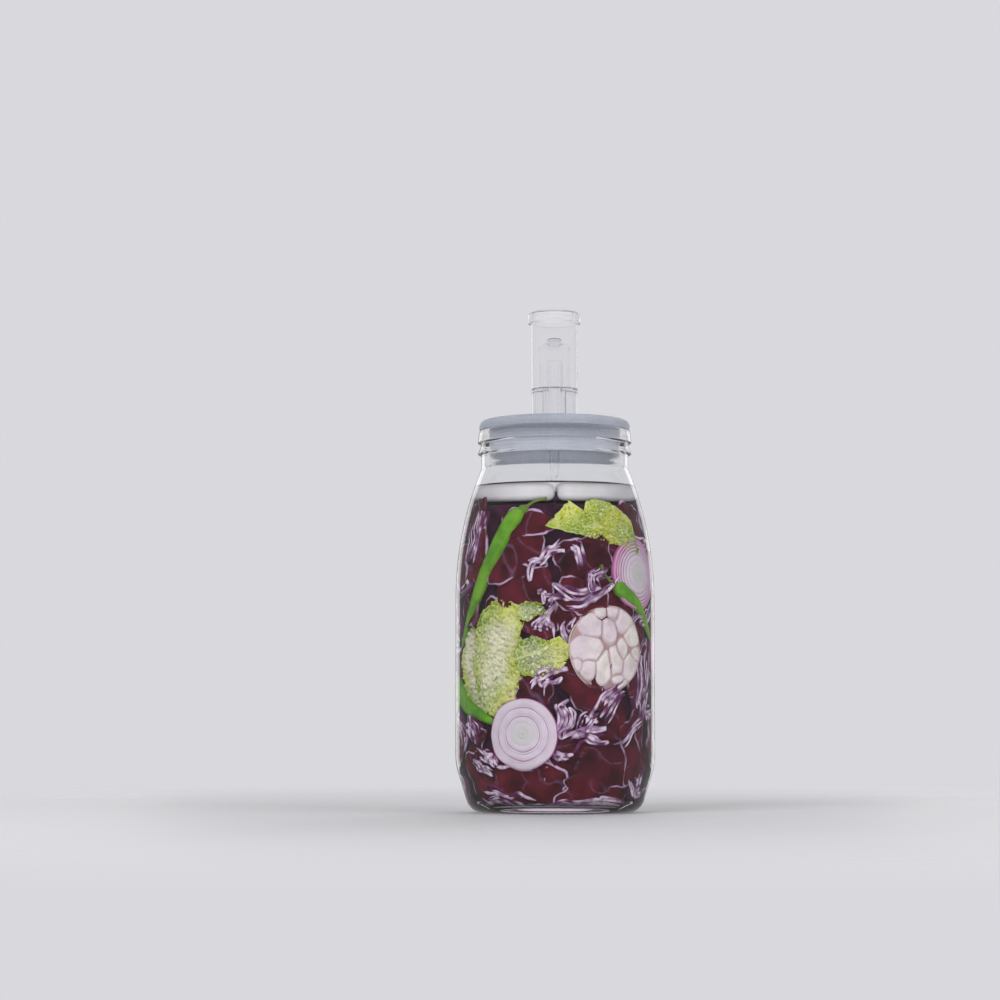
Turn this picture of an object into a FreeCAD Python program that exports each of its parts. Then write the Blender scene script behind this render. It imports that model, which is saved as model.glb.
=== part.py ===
"""Fermentation jar with a push-in silicone lid, a three-piece water airlock and two half-moon weights.

The jar stands on its base ring. The origin is the centre of that ring, +Z is up, and every length is in mm.
The weights meet on the plane x = 0, as they do when the jar is seen from the front.
"""

import FreeCAD
import Part

import math
import os

Vector = FreeCAD.Vector

# Shared clearances
cut_overrun = 5.0            # how far a cutting tool reaches past what it cuts
loose_gap = 0.3              # between curved faces of pieces that come apart
liquid_gap = 0.1             # between a liquid and the vessel around it

# Glass jar
jar_height = 268.5           # base ring to rim
body_radius = 70.0
wall = 4.0
heel_height = 34.0           # where the straight side would meet the tapered heel
heel_taper = 17.0            # degrees from upright
heel_round = 40.0
base_round = 12.0
floor_thickness = 7.0
floor_round = 12.0
punt_radius = 46.5           # inner edge of the base ring
punt_depth = 2.0
punt_slope = 5.0             # width of the punt's sloping edge
punt_round = 1.5
shoulder_slope = 22.0        # degrees from upright
shoulder_round = 240.0
neck_length = 26.8           # rim down to the foot of the neck
neck_round = 6.0
mouth_radius = 47.0
neck_wall = 4.8
rim_wall = 6.3               # width of the rim that carries the lid
rim_round = 1.5
thread_count = 2
thread_height = 2.6          # neck to the crest of a ridge
thread_drop = 8.6            # rim down to the first crest
thread_pitch = 8.0
thread_flank = 1.2           # height of the steep underside of a ridge
thread_round = 0.5

# Silicone lid
flange_thickness = 7.3       # edge that sits on the glass rim
flange_round = 4.5
flange_foot_round = 0.8
lid_plate = 3.5              # thickness of the lid inside the plug
plug_depth = 18.0            # below the rim
plug_wall = 2.6
plug_relief = 0.9            # from the mouth to the plug between its ribs
rib_count = 3
rib_pitch = 4.8
rib_height = 1.8
rib_drop = 3.4               # rim down to the middle of the first rib
plug_round = 0.8
collar_radius = 9.0          # sleeve that grips the airlock stem
collar_length = 9.0          # below the lid plate
collar_round = 1.0
stem_clearance = 0.08        # between the stem and its hole

# Airlock body
tube_top_radius = 16.6
tube_foot_radius = 16.3
tube_wall = 1.3
tube_height = 75.6           # lid to the open top of the tube
tube_round = 0.4
tube_foot_round = 1.0
chamber_floor = 1.5
pipe_height = 42.8           # lid to the open top of the standpipe
pipe_foot_radius = 5.9
pipe_top_radius = 5.5
pipe_wall = 1.2
stem_length = 43.8           # lid top to the tip
stem_radius = 4.8
stem_tip_radius = 2.6
stem_wall = 1.1
stem_cut_angle = 40.0        # degrees between the slanted tip and level

# Airlock float
float_radius = 11.0
float_height = 57.2
float_wall = 1.0
float_lift = 0.3             # above the chamber floor when it is down
dome_rise = 3.4              # side wall up to the nub
dome_round = 4.0
nub_radius = 5.2
nub_height = 2.2
nub_round = 2.1
notch_count = 6
notch_width = 3.0
notch_height = 3.0
guide_rib_count = 6
guide_rib_width = 0.9
guide_rib_height = 36.0
guide_rib_gap = 0.5          # between a guide rib and the standpipe

# Airlock cap
cap_radius = 18.9
cap_height = 8.0
cap_plate = 1.5
cap_round = 3.2
cap_foot_round = 0.6
cap_draft = 0.3              # how much narrower the skirt is at its foot
cap_ring_wall = 0.9          # inner ring that seats in the tube
cap_ring_depth = 4.0
vent_count = 5
vent_radius = 0.8
vent_circle_radius = 9.5

# Weights
weight_thickness = 12.0
weight_clearance = 2.5       # between the mouth and a weight that goes through it
weight_split = 1.6           # gap between the two straight sides
weight_corner_round = 7.0
weight_edge_round = 4.5

# Contents
brine_drop = 41.7            # rim down to the brine
weight_cover = 1.0           # brine over the weights
airlock_water_depth = 20.3   # above the chamber floor
weight_pocket_gap = 0.5      # between a weight and the brine beside it

# Packed vegetables, each kind at its own depth behind the glass
piece_root = 30.0            # from the middle of the jar to the inner ends of the pieces
curve_tapers = 3             # straight tapers that stand for a curve of the glass
bed_depth = 9.5              # packed middle that shows between the leaves
leaf_depth = 4.0             # outer layer of red cabbage leaves
leaf_layer = 1.8             # from one layer of leaves to the next
leaf_width = 42.0
leaf_height = 35.0
leaf_rows = 7
leaf_columns = 12
leaf_turn = 20.0             # degrees between the ways that neighbouring leaves lie
seam_push = 9.0              # degrees by which the leaves part at the front
seam_reach = 60.0            # degrees from the front over which they part
savoy_depth = 1.4
savoy_span = 80.0            # length of the longest savoy leaf
onion_depth = 1.1
onion_radius = 24.2
onion_groove_width = 0.9
onion_groove_depth = 0.8
garlic_depth = 1.2
garlic_radius = 29.5
garlic_rim_drop = 2.0        # faces of the cloves down to the skin between them
clove_ring_count = 8         # cloves round a half that is cut level
chilli_depth = 0.8
chilli_radius = 5.6
edge_rise = 5.7              # how far leaves by the glass stand above the underside of the weights
edge_clearance = 3.0         # between the weights' pocket and those leaves

# Outlines as shares of the sizes above
leaf_outline_shares = (
    (-0.50, -0.20), (-0.30, 0.50), (0.20, 0.45), (0.50, 0.15), (0.35, -0.45), (-0.20, -0.50),
)
savoy_top_shares = (
    (-0.50, -0.03), (-0.38, 0.09), (-0.28, 0.20), (-0.15, 0.11), (-0.09, 0.19), (0.15, 0.18), (0.28, 0.11),
    (0.42, -0.09), (0.44, -0.26), (0.18, -0.19), (-0.05, -0.14), (-0.32, -0.08),
)
savoy_left_shares = (
    (-0.28, -0.03), (-0.20, 0.32), (-0.05, 0.45), (0.16, 0.44), (0.28, 0.38), (0.24, 0.15), (0.25, -0.03),
    (0.22, -0.38), (-0.02, -0.53), (-0.17, -0.43),
)
savoy_lobe_shares = (
    (-0.13, 0.03), (0.00, 0.09), (0.11, 0.06), (0.15, -0.05), (0.05, -0.04), (-0.10, -0.08),
)
savoy_tip_shares = (
    (-0.24, 0.12), (-0.08, 0.18), (0.03, 0.14), (0.14, 0.18), (0.22, 0.08), (0.10, -0.13), (-0.18, -0.16),
)
savoy_loose_shares = (
    (-0.40, 0.00), (-0.30, 0.18), (-0.05, 0.27), (0.12, 0.23), (0.28, 0.20), (0.40, 0.04), (0.22, -0.20),
    (0.02, -0.26), (-0.16, -0.21), (-0.34, -0.14),
)
onion_ring_shares = (0.50, 0.745)
clove_offset_share = 0.60    # middle of the half to the middle of an outer clove
clove_length_share = 0.35
clove_width_share = 0.215
clove_middle_share = 0.17
# right, up, half width, half height, and degrees of turn of the cloves of the half at the front
clove_shares = (
    (-0.47, 0.54, 0.29, 0.23, -20), (0.11, 0.89, 0.18, 0.19, 0), (0.48, 0.72, 0.22, 0.30, -18),
    (0.01, 0.43, 0.18, 0.28, 12), (0.73, 0.33, 0.23, 0.21, 20), (-0.57, 0.00, 0.34, 0.26, 0),
    (0.38, 0.01, 0.14, 0.21, 0), (0.20, -0.29, 0.18, 0.31, 6), (-0.13, -0.45, 0.19, 0.34, -12),
    (-0.54, -0.48, 0.18, 0.20, 0), (0.66, -0.46, 0.21, 0.29, -8), (0.44, -0.86, 0.19, 0.13, 20),
)
chilli_swell_shares = (0.30, 0.88, 1.00, 0.86, 0.62, 0.36, 0.08)  # radii from the stem end to the tip

# Places on the glass: degrees round from the front and share of the packing's height, then what differs
onion_place_shares = (  # then share of the radius
    (-20.7, 0.23, 1.00), (57.7, 0.76, 1.00), (98.0, 0.51, 0.95), (150.0, 0.80, 0.91), (146.0, 0.11, 0.70),
    (184.0, 0.19, 0.95), (240.0, 0.61, 0.91), (232.0, 0.15, 0.91),
)
garlic_place_shares = (  # then share of the radius; the first is the half at the front
    (33.0, 0.51, 1.00), (118.0, 0.285, 0.85), (160.0, 0.49, 0.81), (212.0, 0.39, 0.85),
)
savoy_place_shares = (  # then outline and degrees of turn
    (26.8, 0.926, savoy_top_shares, 0), (-39.5, 0.50, savoy_left_shares, 0),
    (-16.1, 0.637, savoy_lobe_shares, 0), (-8.2, 0.484, savoy_tip_shares, 0),
    (112.0, 0.875, savoy_loose_shares, -15), (188.0, 0.69, savoy_loose_shares, 10),
    (234.0, 0.895, savoy_loose_shares, 20), (255.0, 0.37, savoy_loose_shares, -20),
)
chilli_place_shares = (  # from the stem end to the tip
    ((-19.5, 0.976), (-29.2, 0.926), (-45.6, 0.79), (-60.9, 0.66), (-78.9, 0.506)),
    ((36.9, 0.731), (46.8, 0.70), (60.9, 0.65), (81.2, 0.53)),
    ((-85.3, 0.43), (-71.0, 0.338), (-53.3, 0.294), (-34.8, 0.257)),
    ((126.0, 0.65), (131.0, 0.585), (140.0, 0.45), (146.0, 0.30)),
    ((178.0, 0.975), (176.0, 0.92), (166.0, 0.83), (160.0, 0.69)),
    ((266.0, 0.80), (267.0, 0.74), (264.0, 0.63), (268.0, 0.51)),
    ((92.0, 0.18), (100.0, 0.13), (112.0, 0.092), (126.0, 0.073)),
)

# Radii and heights that follow from the sizes above
neck_radius = mouth_radius + neck_wall
rim_radius = mouth_radius + rim_wall
neck_foot_z = jar_height - neck_length
lid_top_z = jar_height + flange_thickness
plate_under_z = lid_top_z - lid_plate
chamber_floor_z = lid_top_z + chamber_floor
tube_top_z = lid_top_z + tube_height
float_foot_z = chamber_floor_z + float_lift
float_top_z = float_foot_z + float_height
cap_under_z = tube_top_z + loose_gap
cap_top_z = cap_under_z + cap_plate
brine_z = jar_height - brine_drop
weight_top_z = brine_z - weight_cover
packing_z = weight_top_z - weight_thickness
weight_radius = mouth_radius - weight_clearance

joined = 1e-6                # ends closer than this are one point

axis_foot = Vector(0, 0, 0)
axis_up = Vector(0, 0, 1)
full_turn = 360.0


def rounded_outline(corners):
    """Closed wire in the XZ plane through (radius, height, rounding) corners, each limited by its sides."""
    count = len(corners)
    points = [Vector(radius, 0, height) for radius, height, rounding in corners]
    sides = [points[(i + 1) % count] - points[i] for i in range(count)]
    half_turns = [sides[i - 1].getAngle(sides[i]) / 2 for i in range(count)]
    reaches = [corner[2] * math.tan(half_turns[i]) for i, corner in enumerate(corners)]
    for i, side in enumerate(sides):
        wanted = reaches[i] + reaches[(i + 1) % count]
        if wanted > side.Length:
            reaches[i] *= side.Length / wanted
            reaches[(i + 1) % count] *= side.Length / wanted
    ways = [Vector(side).normalize() for side in sides]
    edges = []
    for i, point in enumerate(points):
        start = point - ways[i - 1] * reaches[i]
        end = point + ways[i] * reaches[i]
        if reaches[i] > joined:
            bend = reaches[i] / math.tan(half_turns[i])
            inward = (ways[i] - ways[i - 1]).normalize()
            middle = point + inward * (bend / math.cos(half_turns[i]) - bend)
            edges.append(Part.Arc(start, middle, end).toShape())
        after = (i + 1) % count
        next_start = points[after] - ways[i] * reaches[after]
        if (next_start - end).Length > joined:
            edges.append(Part.LineSegment(end, next_start).toShape())
    return Part.Wire(edges)


def spin(corners):
    """Solid made by turning a closed outline about Z."""
    return Part.Face(rounded_outline(corners)).revolve(axis_foot, axis_up, full_turn)


def around(shape, count):
    """Copies of a shape spaced evenly about Z."""
    copies = []
    for i in range(count):
        copy = shape.copy()
        copy.rotate(axis_foot, axis_up, full_turn * i / count)
        copies.append(copy)
    return copies


def slab(low, high):
    """Block wider than the jar between two heights."""
    half = body_radius + cut_overrun
    return Part.makeBox(2 * half, 2 * half, high - low, Vector(-half, -half, low))


def taper_radius(foot_radius, foot_z, top_radius, top_z, z):
    """Radius at a height on a straight taper."""
    return foot_radius + (top_radius - foot_radius) * (z - foot_z) / (top_z - foot_z)


def stem_outer(z):
    """Outer radius of the airlock stem at a height."""
    return taper_radius(stem_tip_radius, lid_top_z - stem_length, stem_radius, lid_top_z, z)


def tube_inner(z):
    """Inner radius of the airlock tube at a height."""
    return taper_radius(tube_foot_radius, lid_top_z, tube_top_radius, tube_top_z, z) - tube_wall


def heel_lean():
    """Run of the heel's taper for each mm of height."""
    return math.tan(math.radians(heel_taper))


def cavity_corners(gap):
    """Outline of the space inside the glass, drawn in by a gap everywhere but at the floor."""
    depth = wall + gap
    lean = heel_lean()
    slope = math.radians(shoulder_slope)
    inner = body_radius - depth
    taper_shift = depth / math.cos(math.radians(heel_taper))
    base_virtual = body_radius - heel_height * lean - taper_shift
    heel_z = (inner - base_virtual) / lean
    shoulder_z = neck_foot_z - (body_radius - neck_radius) / math.tan(slope) - depth * math.tan(slope / 2)
    bore = mouth_radius - gap
    bore_z = shoulder_z + (inner - bore) / math.tan(slope)
    return [
        (0, floor_thickness, 0),
        (base_virtual + floor_thickness * lean, floor_thickness, floor_round),
        (inner, heel_z, heel_round - wall),
        (inner, shoulder_z, shoulder_round - wall),
        (bore, bore_z, neck_round + wall),
    ]


def make_jar():
    """Blown glass jar: base ring with a punt, tapered heel, long shoulder, ridged neck and open mouth."""
    shoulder_z = neck_foot_z - (body_radius - neck_radius) / math.tan(math.radians(shoulder_slope))
    base_virtual = body_radius - heel_height * heel_lean()
    outside = [
        (0, punt_depth, 0),
        (punt_radius - punt_slope, punt_depth, punt_round),
        (punt_radius, 0, punt_round),
        (base_virtual, 0, base_round),
        (body_radius, heel_height, heel_round),
        (body_radius, shoulder_z, shoulder_round),
        (neck_radius, neck_foot_z, neck_round),
    ]
    for ridge in reversed(range(thread_count)):
        crest_z = jar_height - thread_drop - ridge * thread_pitch
        outside.append((neck_radius, crest_z - thread_flank, thread_round))
        outside.append((neck_radius + thread_height, crest_z, thread_round))
    rim = [
        (rim_radius, jar_height, rim_round),
        (mouth_radius, jar_height, rim_round),
    ]
    return spin(outside + rim + cavity_corners(0)[::-1])


def make_lid():
    """Silicone stopper: flange on the rim, hollow plug with sealing ribs, sleeve for the airlock stem."""
    collar_z = plate_under_z - collar_length
    plug_radius = mouth_radius - plug_relief
    rib_radius = mouth_radius - loose_gap
    plug_z = jar_height - plug_depth
    corners = [
        (stem_outer(lid_top_z) + stem_clearance, lid_top_z, 0),
        (rim_radius, lid_top_z, flange_round),
        (rim_radius, jar_height, flange_foot_round),
        (plug_radius, jar_height, 0),
    ]
    for rib in range(rib_count):
        rib_z = jar_height - rib_drop - rib * rib_pitch
        corners.append((plug_radius, rib_z + rib_height / 2, 0))
        corners.append((rib_radius, rib_z, 0))
        corners.append((plug_radius, rib_z - rib_height / 2, 0))
    corners += [
        (plug_radius, plug_z, plug_round),
        (plug_radius - plug_wall, plug_z, plug_round),
        (plug_radius - plug_wall, plate_under_z, plug_round),
        (collar_radius, plate_under_z, collar_round),
        (collar_radius, collar_z, collar_round),
        (stem_outer(collar_z) + stem_clearance, collar_z, 0),
    ]
    return spin(corners)


def make_airlock_body():
    """One clear moulding: open tube, chamber floor, standpipe, and a tapered stem with a slanted tip."""
    tip_z = lid_top_z - stem_length
    pipe_top_z = lid_top_z + pipe_height
    body = spin([
        (stem_tip_radius - stem_wall, tip_z, 0),
        (stem_tip_radius, tip_z, 0),
        (stem_radius, lid_top_z, 0),
        (tube_foot_radius, lid_top_z, tube_foot_round),
        (tube_top_radius, tube_top_z, tube_round),
        (tube_inner(tube_top_z), tube_top_z, tube_round),
        (tube_inner(chamber_floor_z), chamber_floor_z, tube_round),
        (pipe_foot_radius, chamber_floor_z, tube_round),
        (pipe_top_radius, pipe_top_z, tube_round),
        (pipe_top_radius - pipe_wall, pipe_top_z, tube_round),
        (pipe_foot_radius - pipe_wall, chamber_floor_z, 0),
        (stem_radius - stem_wall, lid_top_z, 0),
    ])
    reach = stem_radius + cut_overrun
    slant = Part.makeBox(2 * reach, 2 * reach, reach, Vector(-reach, -reach, -reach))
    slant.rotate(axis_foot, Vector(0, -1, 0), stem_cut_angle)
    slant.translate(Vector(0, 0, tip_z + stem_tip_radius * math.tan(math.radians(stem_cut_angle))))
    return body.cut(slant)


def make_float():
    """Inverted cup over the standpipe, with a nubbed dome, inner guide ribs and a notched foot."""
    side_top_z = float_top_z - nub_height - dome_rise
    nub_foot_z = float_top_z - nub_height
    cup = spin([
        (0, float_top_z, 0),
        (nub_radius, float_top_z, nub_round),
        (nub_radius, nub_foot_z, 0),
        (float_radius, side_top_z, dome_round),
        (float_radius, float_foot_z, 0),
        (float_radius - float_wall, float_foot_z, 0),
        (float_radius - float_wall, side_top_z - float_wall, dome_round),
        (nub_radius, nub_foot_z - float_wall, 0),
        (0, nub_foot_z - float_wall, 0),
    ])
    rib_inner = pipe_foot_radius + guide_rib_gap
    rib_outer = float_radius - float_wall / 2
    rib = Part.makeBox(
        rib_outer - rib_inner,
        guide_rib_width,
        guide_rib_height,
        Vector(rib_inner, -guide_rib_width / 2, float_foot_z + notch_height),
    )
    notch = Part.makeBox(
        float_radius + cut_overrun,
        notch_width,
        notch_height + cut_overrun,
        Vector(0, -notch_width / 2, float_foot_z - cut_overrun),
    )
    return cup.fuse(around(rib, guide_rib_count)).cut(around(notch, notch_count)).removeSplitter()


def make_cap():
    """Vented push-on cap with an outer skirt and an inner ring on either side of the tube wall."""
    skirt_inner = tube_top_radius + loose_gap
    ring_outer = tube_inner(tube_top_z - cap_ring_depth) - loose_gap
    skirt_foot_z = cap_top_z - cap_height
    ring_foot_z = cap_under_z - cap_ring_depth
    cap = spin([
        (0, cap_top_z, 0),
        (cap_radius, cap_top_z, cap_round),
        (cap_radius - cap_draft, skirt_foot_z, cap_foot_round),
        (skirt_inner, skirt_foot_z, cap_foot_round),
        (skirt_inner, cap_under_z, 0),
        (ring_outer, cap_under_z, 0),
        (ring_outer, ring_foot_z, 0),
        (ring_outer - cap_ring_wall, ring_foot_z, 0),
        (ring_outer - cap_ring_wall, cap_under_z, 0),
        (0, cap_under_z, 0),
    ])
    vent = Part.makeCylinder(
        vent_radius,
        cap_plate + 2 * cut_overrun,
        Vector(vent_circle_radius, 0, cap_under_z - cut_overrun),
    )
    return cap.cut(around(vent, vent_count))


def make_weight(quarter_turns):
    """Glazed half-moon stone with every edge rounded, beside the plane x = 0."""
    straight = weight_split / 2
    tip = math.sqrt(weight_radius ** 2 - straight ** 2)
    front = Vector(straight, -tip, packing_z)
    back = Vector(straight, tip, packing_z)
    bow = Part.Arc(front, Vector(weight_radius, 0, packing_z), back).toShape()
    chord = Part.LineSegment(back, front).toShape()
    stone = Part.Face(Part.Wire([bow, chord])).extrude(axis_up * weight_thickness)
    upright = [edge for edge in stone.Edges if edge.BoundBox.ZLength > weight_thickness / 2]
    stone = stone.makeFillet(weight_corner_round, upright)
    level = [edge for edge in stone.Edges if edge.BoundBox.ZLength < weight_thickness / 2]
    stone = stone.makeFillet(weight_edge_round, level)
    stone.rotate(axis_foot, axis_up, quarter_turns * full_turn / 4)
    return stone


def cavity_fill(gap, low, high):
    """Part of the space inside the glass between two heights, drawn in by a gap."""
    bore = mouth_radius - gap
    fill = spin(cavity_corners(gap) + [(bore, jar_height, 0), (0, jar_height, 0)])
    return fill.common(slab(low, high))


def packing_room(depth, top):
    """Space inside the glass up to a height, drawn in by a depth, with straight tapers for its curves."""
    bore = mouth_radius - depth
    outline = rounded_outline(cavity_corners(depth) + [(bore, jar_height, 0), (0, jar_height, 0)])
    points = []
    for edge in outline.OrderedEdges:
        tapers = curve_tapers if isinstance(edge.Curve, Part.Circle) else 1
        points += edge.discretize(tapers + 1)[:-1]
    room = Part.Face(Part.makePolygon(points + points[:1])).revolve(axis_foot, axis_up, full_turn)
    return room.common(slab(floor_thickness, top))


def packing_height(share):
    """Height above the base of a place given as a share of the packing's height."""
    return floor_thickness + share * (packing_z - floor_thickness)


def block(face, angle, share):
    """Face drawn about the origin as seen from the front, made into a block that points out of the jar."""
    out = face.extrude(Vector(0, piece_root - body_radius, 0))
    out.translate(Vector(0, -piece_root, packing_height(share)))
    out.rotate(axis_foot, axis_up, angle)
    return out


def front_points(shares, width, height):
    """Points of an outline on the plane y = 0."""
    return [Vector(right * width, 0, up * height) for right, up in shares]


def straight_face(shares, width, height, turn):
    """Face with straight edges, turned about the line of sight."""
    points = front_points(shares, width, height)
    face = Part.Face(Part.makePolygon(points + points[:1]))
    face.rotate(axis_foot, Vector(0, -1, 0), turn)
    return face


def curved_face(shares, width, height, turn):
    """Face with one smooth edge, turned about the line of sight."""
    edge = Part.BSplineCurve()
    edge.interpolate(Points=front_points(shares, width, height), PeriodicFlag=True)
    face = Part.Face(Part.Wire(edge.toShape()))
    face.rotate(axis_foot, Vector(0, -1, 0), turn)
    return face


def round_face(radius):
    """Face with a round edge."""
    return Part.Face(Part.Wire(Part.Circle(axis_foot, Vector(0, -1, 0), radius).toShape()))


def oval_face(right, up, wide, tall, turn):
    """Face with an oval edge about a point, turned about that point."""
    oval = Part.Ellipse(axis_foot, max(wide, tall), min(wide, tall)).toShape()
    if tall > wide:
        oval.rotate(axis_foot, axis_up, full_turn / 4)
    oval.rotate(axis_foot, axis_up, turn)
    oval.rotate(axis_foot, Vector(1, 0, 0), full_turn / 4)
    oval.translate(Vector(right, 0, up))
    return Part.Face(Part.Wire(oval))


def pressed(blocks, depth):
    """The part of some blocks that lies in the packing, flattened against the glass at a depth."""
    room = packing_room(depth, packing_z + edge_rise)
    clear = Part.makeCylinder(
        weight_radius + weight_pocket_gap + edge_clearance, edge_rise + cut_overrun, Vector(0, 0, packing_z))
    return blocks[0].multiFuse(blocks[1:]).common(room.cut(clear))


def leaf_blocks(layer):
    """Red cabbage leaves of one layer, in staggered rows that part along a seam at the front."""
    blocks = []
    for row in range(leaf_rows):
        for column in range(leaf_columns):
            if (row + column) % 2 != layer:
                continue
            angle = full_turn * (column + (1 - row % 2) / 2) / leaf_columns
            if angle == 0:
                continue
            away = angle - full_turn if angle > full_turn / 2 else angle
            push = seam_push * max(0, 1 - abs(away) / seam_reach)
            turn = leaf_turn * ((2 * row + 3 * column) % 5 - 2)
            face = straight_face(leaf_outline_shares, leaf_width, leaf_height, turn)
            blocks.append(block(face, away + math.copysign(push, away), (row + 1 / 2) / leaf_rows))
    return blocks


def onion_blocks():
    """Onion slices, and the same slices with their ring grooves cut through."""
    slices, grooved = [], []
    for angle, share, size_share in onion_place_shares:
        radius = onion_radius * size_share
        face = round_face(radius)
        slices.append(block(face, angle, share))
        for ring_share in onion_ring_shares:
            ring = round_face(radius * ring_share + onion_groove_width / 2)
            face = face.cut(ring.cut(round_face(radius * ring_share - onion_groove_width / 2)))
        grooved += [block(part, angle, share) for part in face.Faces]
    return slices, grooved


def clove_ring():
    """Cloves of a half that is cut level: one in the middle and a ring about it."""
    ovals = [(0, 0, clove_middle_share, clove_middle_share, 0)]
    for i in range(clove_ring_count):
        swing = full_turn * i / clove_ring_count
        right = clove_offset_share * math.cos(math.radians(swing))
        up = clove_offset_share * math.sin(math.radians(swing))
        ovals.append((right, up, clove_length_share, clove_width_share, swing))
    return ovals


def garlic_blocks():
    """Garlic halves, and the cloves that stand out of them."""
    halves, cloves = [], []
    for i, (angle, share, size_share) in enumerate(garlic_place_shares):
        radius = garlic_radius * size_share
        halves.append(block(round_face(radius), angle, share))
        for right, up, wide, tall, turn in clove_ring() if i else clove_shares:
            face = oval_face(right * radius, up * radius, wide * radius, tall * radius, turn)
            cloves.append(block(face, angle, share))
    return halves, cloves


def fill_radius(gap, height):
    """Radius at a height of the space inside the glass, drawn in by a gap."""
    line = Part.makeLine(Vector(0, 0, height), Vector(body_radius, 0, height))
    return cavity_fill(gap, floor_thickness, jar_height).common(line).BoundBox.XMax


def make_chilli(places):
    """Chilli that lies along the glass, swelling from its stem end and tapering to its tip."""
    spots = []
    for angle, share in places:
        height = packing_height(share)
        reach = fill_radius(chilli_depth + chilli_radius, height)
        turn = math.radians(angle)
        spots.append(Vector(reach * math.sin(turn), -reach * math.cos(turn), height))
    route = Part.BSplineCurve()
    route.interpolate(spots)
    rings = []
    for i, swell in enumerate(chilli_swell_shares):
        step = (route.LastParameter - route.FirstParameter) / (len(chilli_swell_shares) - 1)
        along = route.FirstParameter + step * i
        ring = Part.Circle(route.value(along), route.tangent(along)[0], chilli_radius * swell)
        rings.append(Part.Wire(ring.toShape()))
    return Part.makeLoft(rings, True)


def make_packing():
    """Vegetables that fill the jar up to the weights, with the larger pieces flat against the glass."""
    slices, grooved = onion_blocks()
    halves, cloves = garlic_blocks()
    savoys = [
        block(curved_face(shares, savoy_span, savoy_span, turn), angle, share)
        for angle, share, shares, turn in savoy_place_shares
    ]
    chillies = [make_chilli(places) for places in chilli_place_shares]
    return packing_room(bed_depth, packing_z).multiFuse([
        pressed(leaf_blocks(0), leaf_depth),
        pressed(leaf_blocks(1), leaf_depth + leaf_layer),
        pressed(savoys, savoy_depth),
        pressed(slices, onion_depth + onion_groove_depth),
        pressed(grooved, onion_depth),
        pressed(halves, garlic_depth + garlic_rim_drop),
        pressed(cloves, garlic_depth),
        pressed(chillies, chilli_depth),
    ])


def make_brine(packing):
    """Brine over the packing, around the weights and the leaves that stand up beside them."""
    pocket = Part.makeCylinder(
        weight_radius + weight_pocket_gap,
        brine_z - packing_z + 2 * cut_overrun,
        Vector(0, 0, packing_z - cut_overrun),
    )
    leaves = packing.common(slab(packing_z, brine_z))
    return cavity_fill(liquid_gap, packing_z, brine_z).cut(pocket).cut(leaves)


def make_airlock_water():
    """Water between the float and the tube that seals the airlock."""
    water_z = chamber_floor_z + airlock_water_depth
    float_side = float_radius + loose_gap
    return spin([
        (float_side, chamber_floor_z, 0),
        (tube_inner(chamber_floor_z) - tube_round, chamber_floor_z, 0),
        (tube_inner(chamber_floor_z) - liquid_gap, chamber_floor_z + tube_round, 0),
        (tube_inner(water_z) - liquid_gap, water_z, 0),
        (float_side, water_z, 0),
    ])


def main():
    """Writes one STEP file for each piece."""
    packing = make_packing()
    pieces = {
        "glass_jar": make_jar(),
        "silicone_lid": make_lid(),
        "airlock_body": make_airlock_body(),
        "airlock_float": make_float(),
        "airlock_cap": make_cap(),
        "airlock_water": make_airlock_water(),
        "weight_left": make_weight(2),
        "weight_right": make_weight(0),
        "vegetable_packing": packing,
        "brine": make_brine(packing),
    }
    os.makedirs("parts", exist_ok=True)
    for node, shape in pieces.items():
        shape.exportStep(f"parts/{node}.step")
        print(node, len(shape.Solids), "solid", round(shape.Volume / 1000, 2), "cm3", shape.isValid())


main()
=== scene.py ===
import bpy
import math
import random
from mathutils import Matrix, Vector, noise


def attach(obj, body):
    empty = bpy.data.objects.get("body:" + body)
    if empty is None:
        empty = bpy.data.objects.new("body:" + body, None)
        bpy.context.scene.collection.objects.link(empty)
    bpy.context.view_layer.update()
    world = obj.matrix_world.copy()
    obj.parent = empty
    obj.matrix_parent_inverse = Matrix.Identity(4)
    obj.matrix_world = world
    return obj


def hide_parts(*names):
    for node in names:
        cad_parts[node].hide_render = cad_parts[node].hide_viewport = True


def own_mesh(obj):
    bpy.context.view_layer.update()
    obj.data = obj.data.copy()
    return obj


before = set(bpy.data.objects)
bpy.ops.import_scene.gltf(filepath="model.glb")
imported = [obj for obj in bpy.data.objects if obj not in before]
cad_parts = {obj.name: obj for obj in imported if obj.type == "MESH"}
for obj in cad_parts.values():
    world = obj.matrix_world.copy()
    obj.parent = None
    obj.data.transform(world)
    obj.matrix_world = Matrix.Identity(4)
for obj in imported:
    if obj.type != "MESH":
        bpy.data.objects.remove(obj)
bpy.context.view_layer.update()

mm = 0.001  # sizes are in mm down to the stage, and meshes are made in metres
wave = noise.noise  # smooth noise about 0

scene = bpy.context.scene
scene.view_settings.view_transform = "Standard"
scene.cycles.max_bounces = 40  # many clear walls stand one behind the other
scene.cycles.transmission_bounces = 40
scene.cycles.glossy_bounces = 24


# numbers and paths

def lerp(a, b, t):
    return a + (b - a) * t


def smoothStep(low, high, value):
    t = min(max((value - low) / (high - low), 0.0), 1.0)
    return t * t * (3 - 2 * t)


def ringAngles(count):
    return [math.tau * i / count for i in range(count)]


def polar(radius, angle, z):
    # angles run from the front to the right
    return Vector((radius * math.sin(angle), -radius * math.cos(angle), z))


def onCircle(theta, seed):
    return Vector((math.cos(theta), math.sin(theta), seed))


def outwardOf(point):
    return Vector((point.x, point.y, 0)).normalized()


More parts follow.
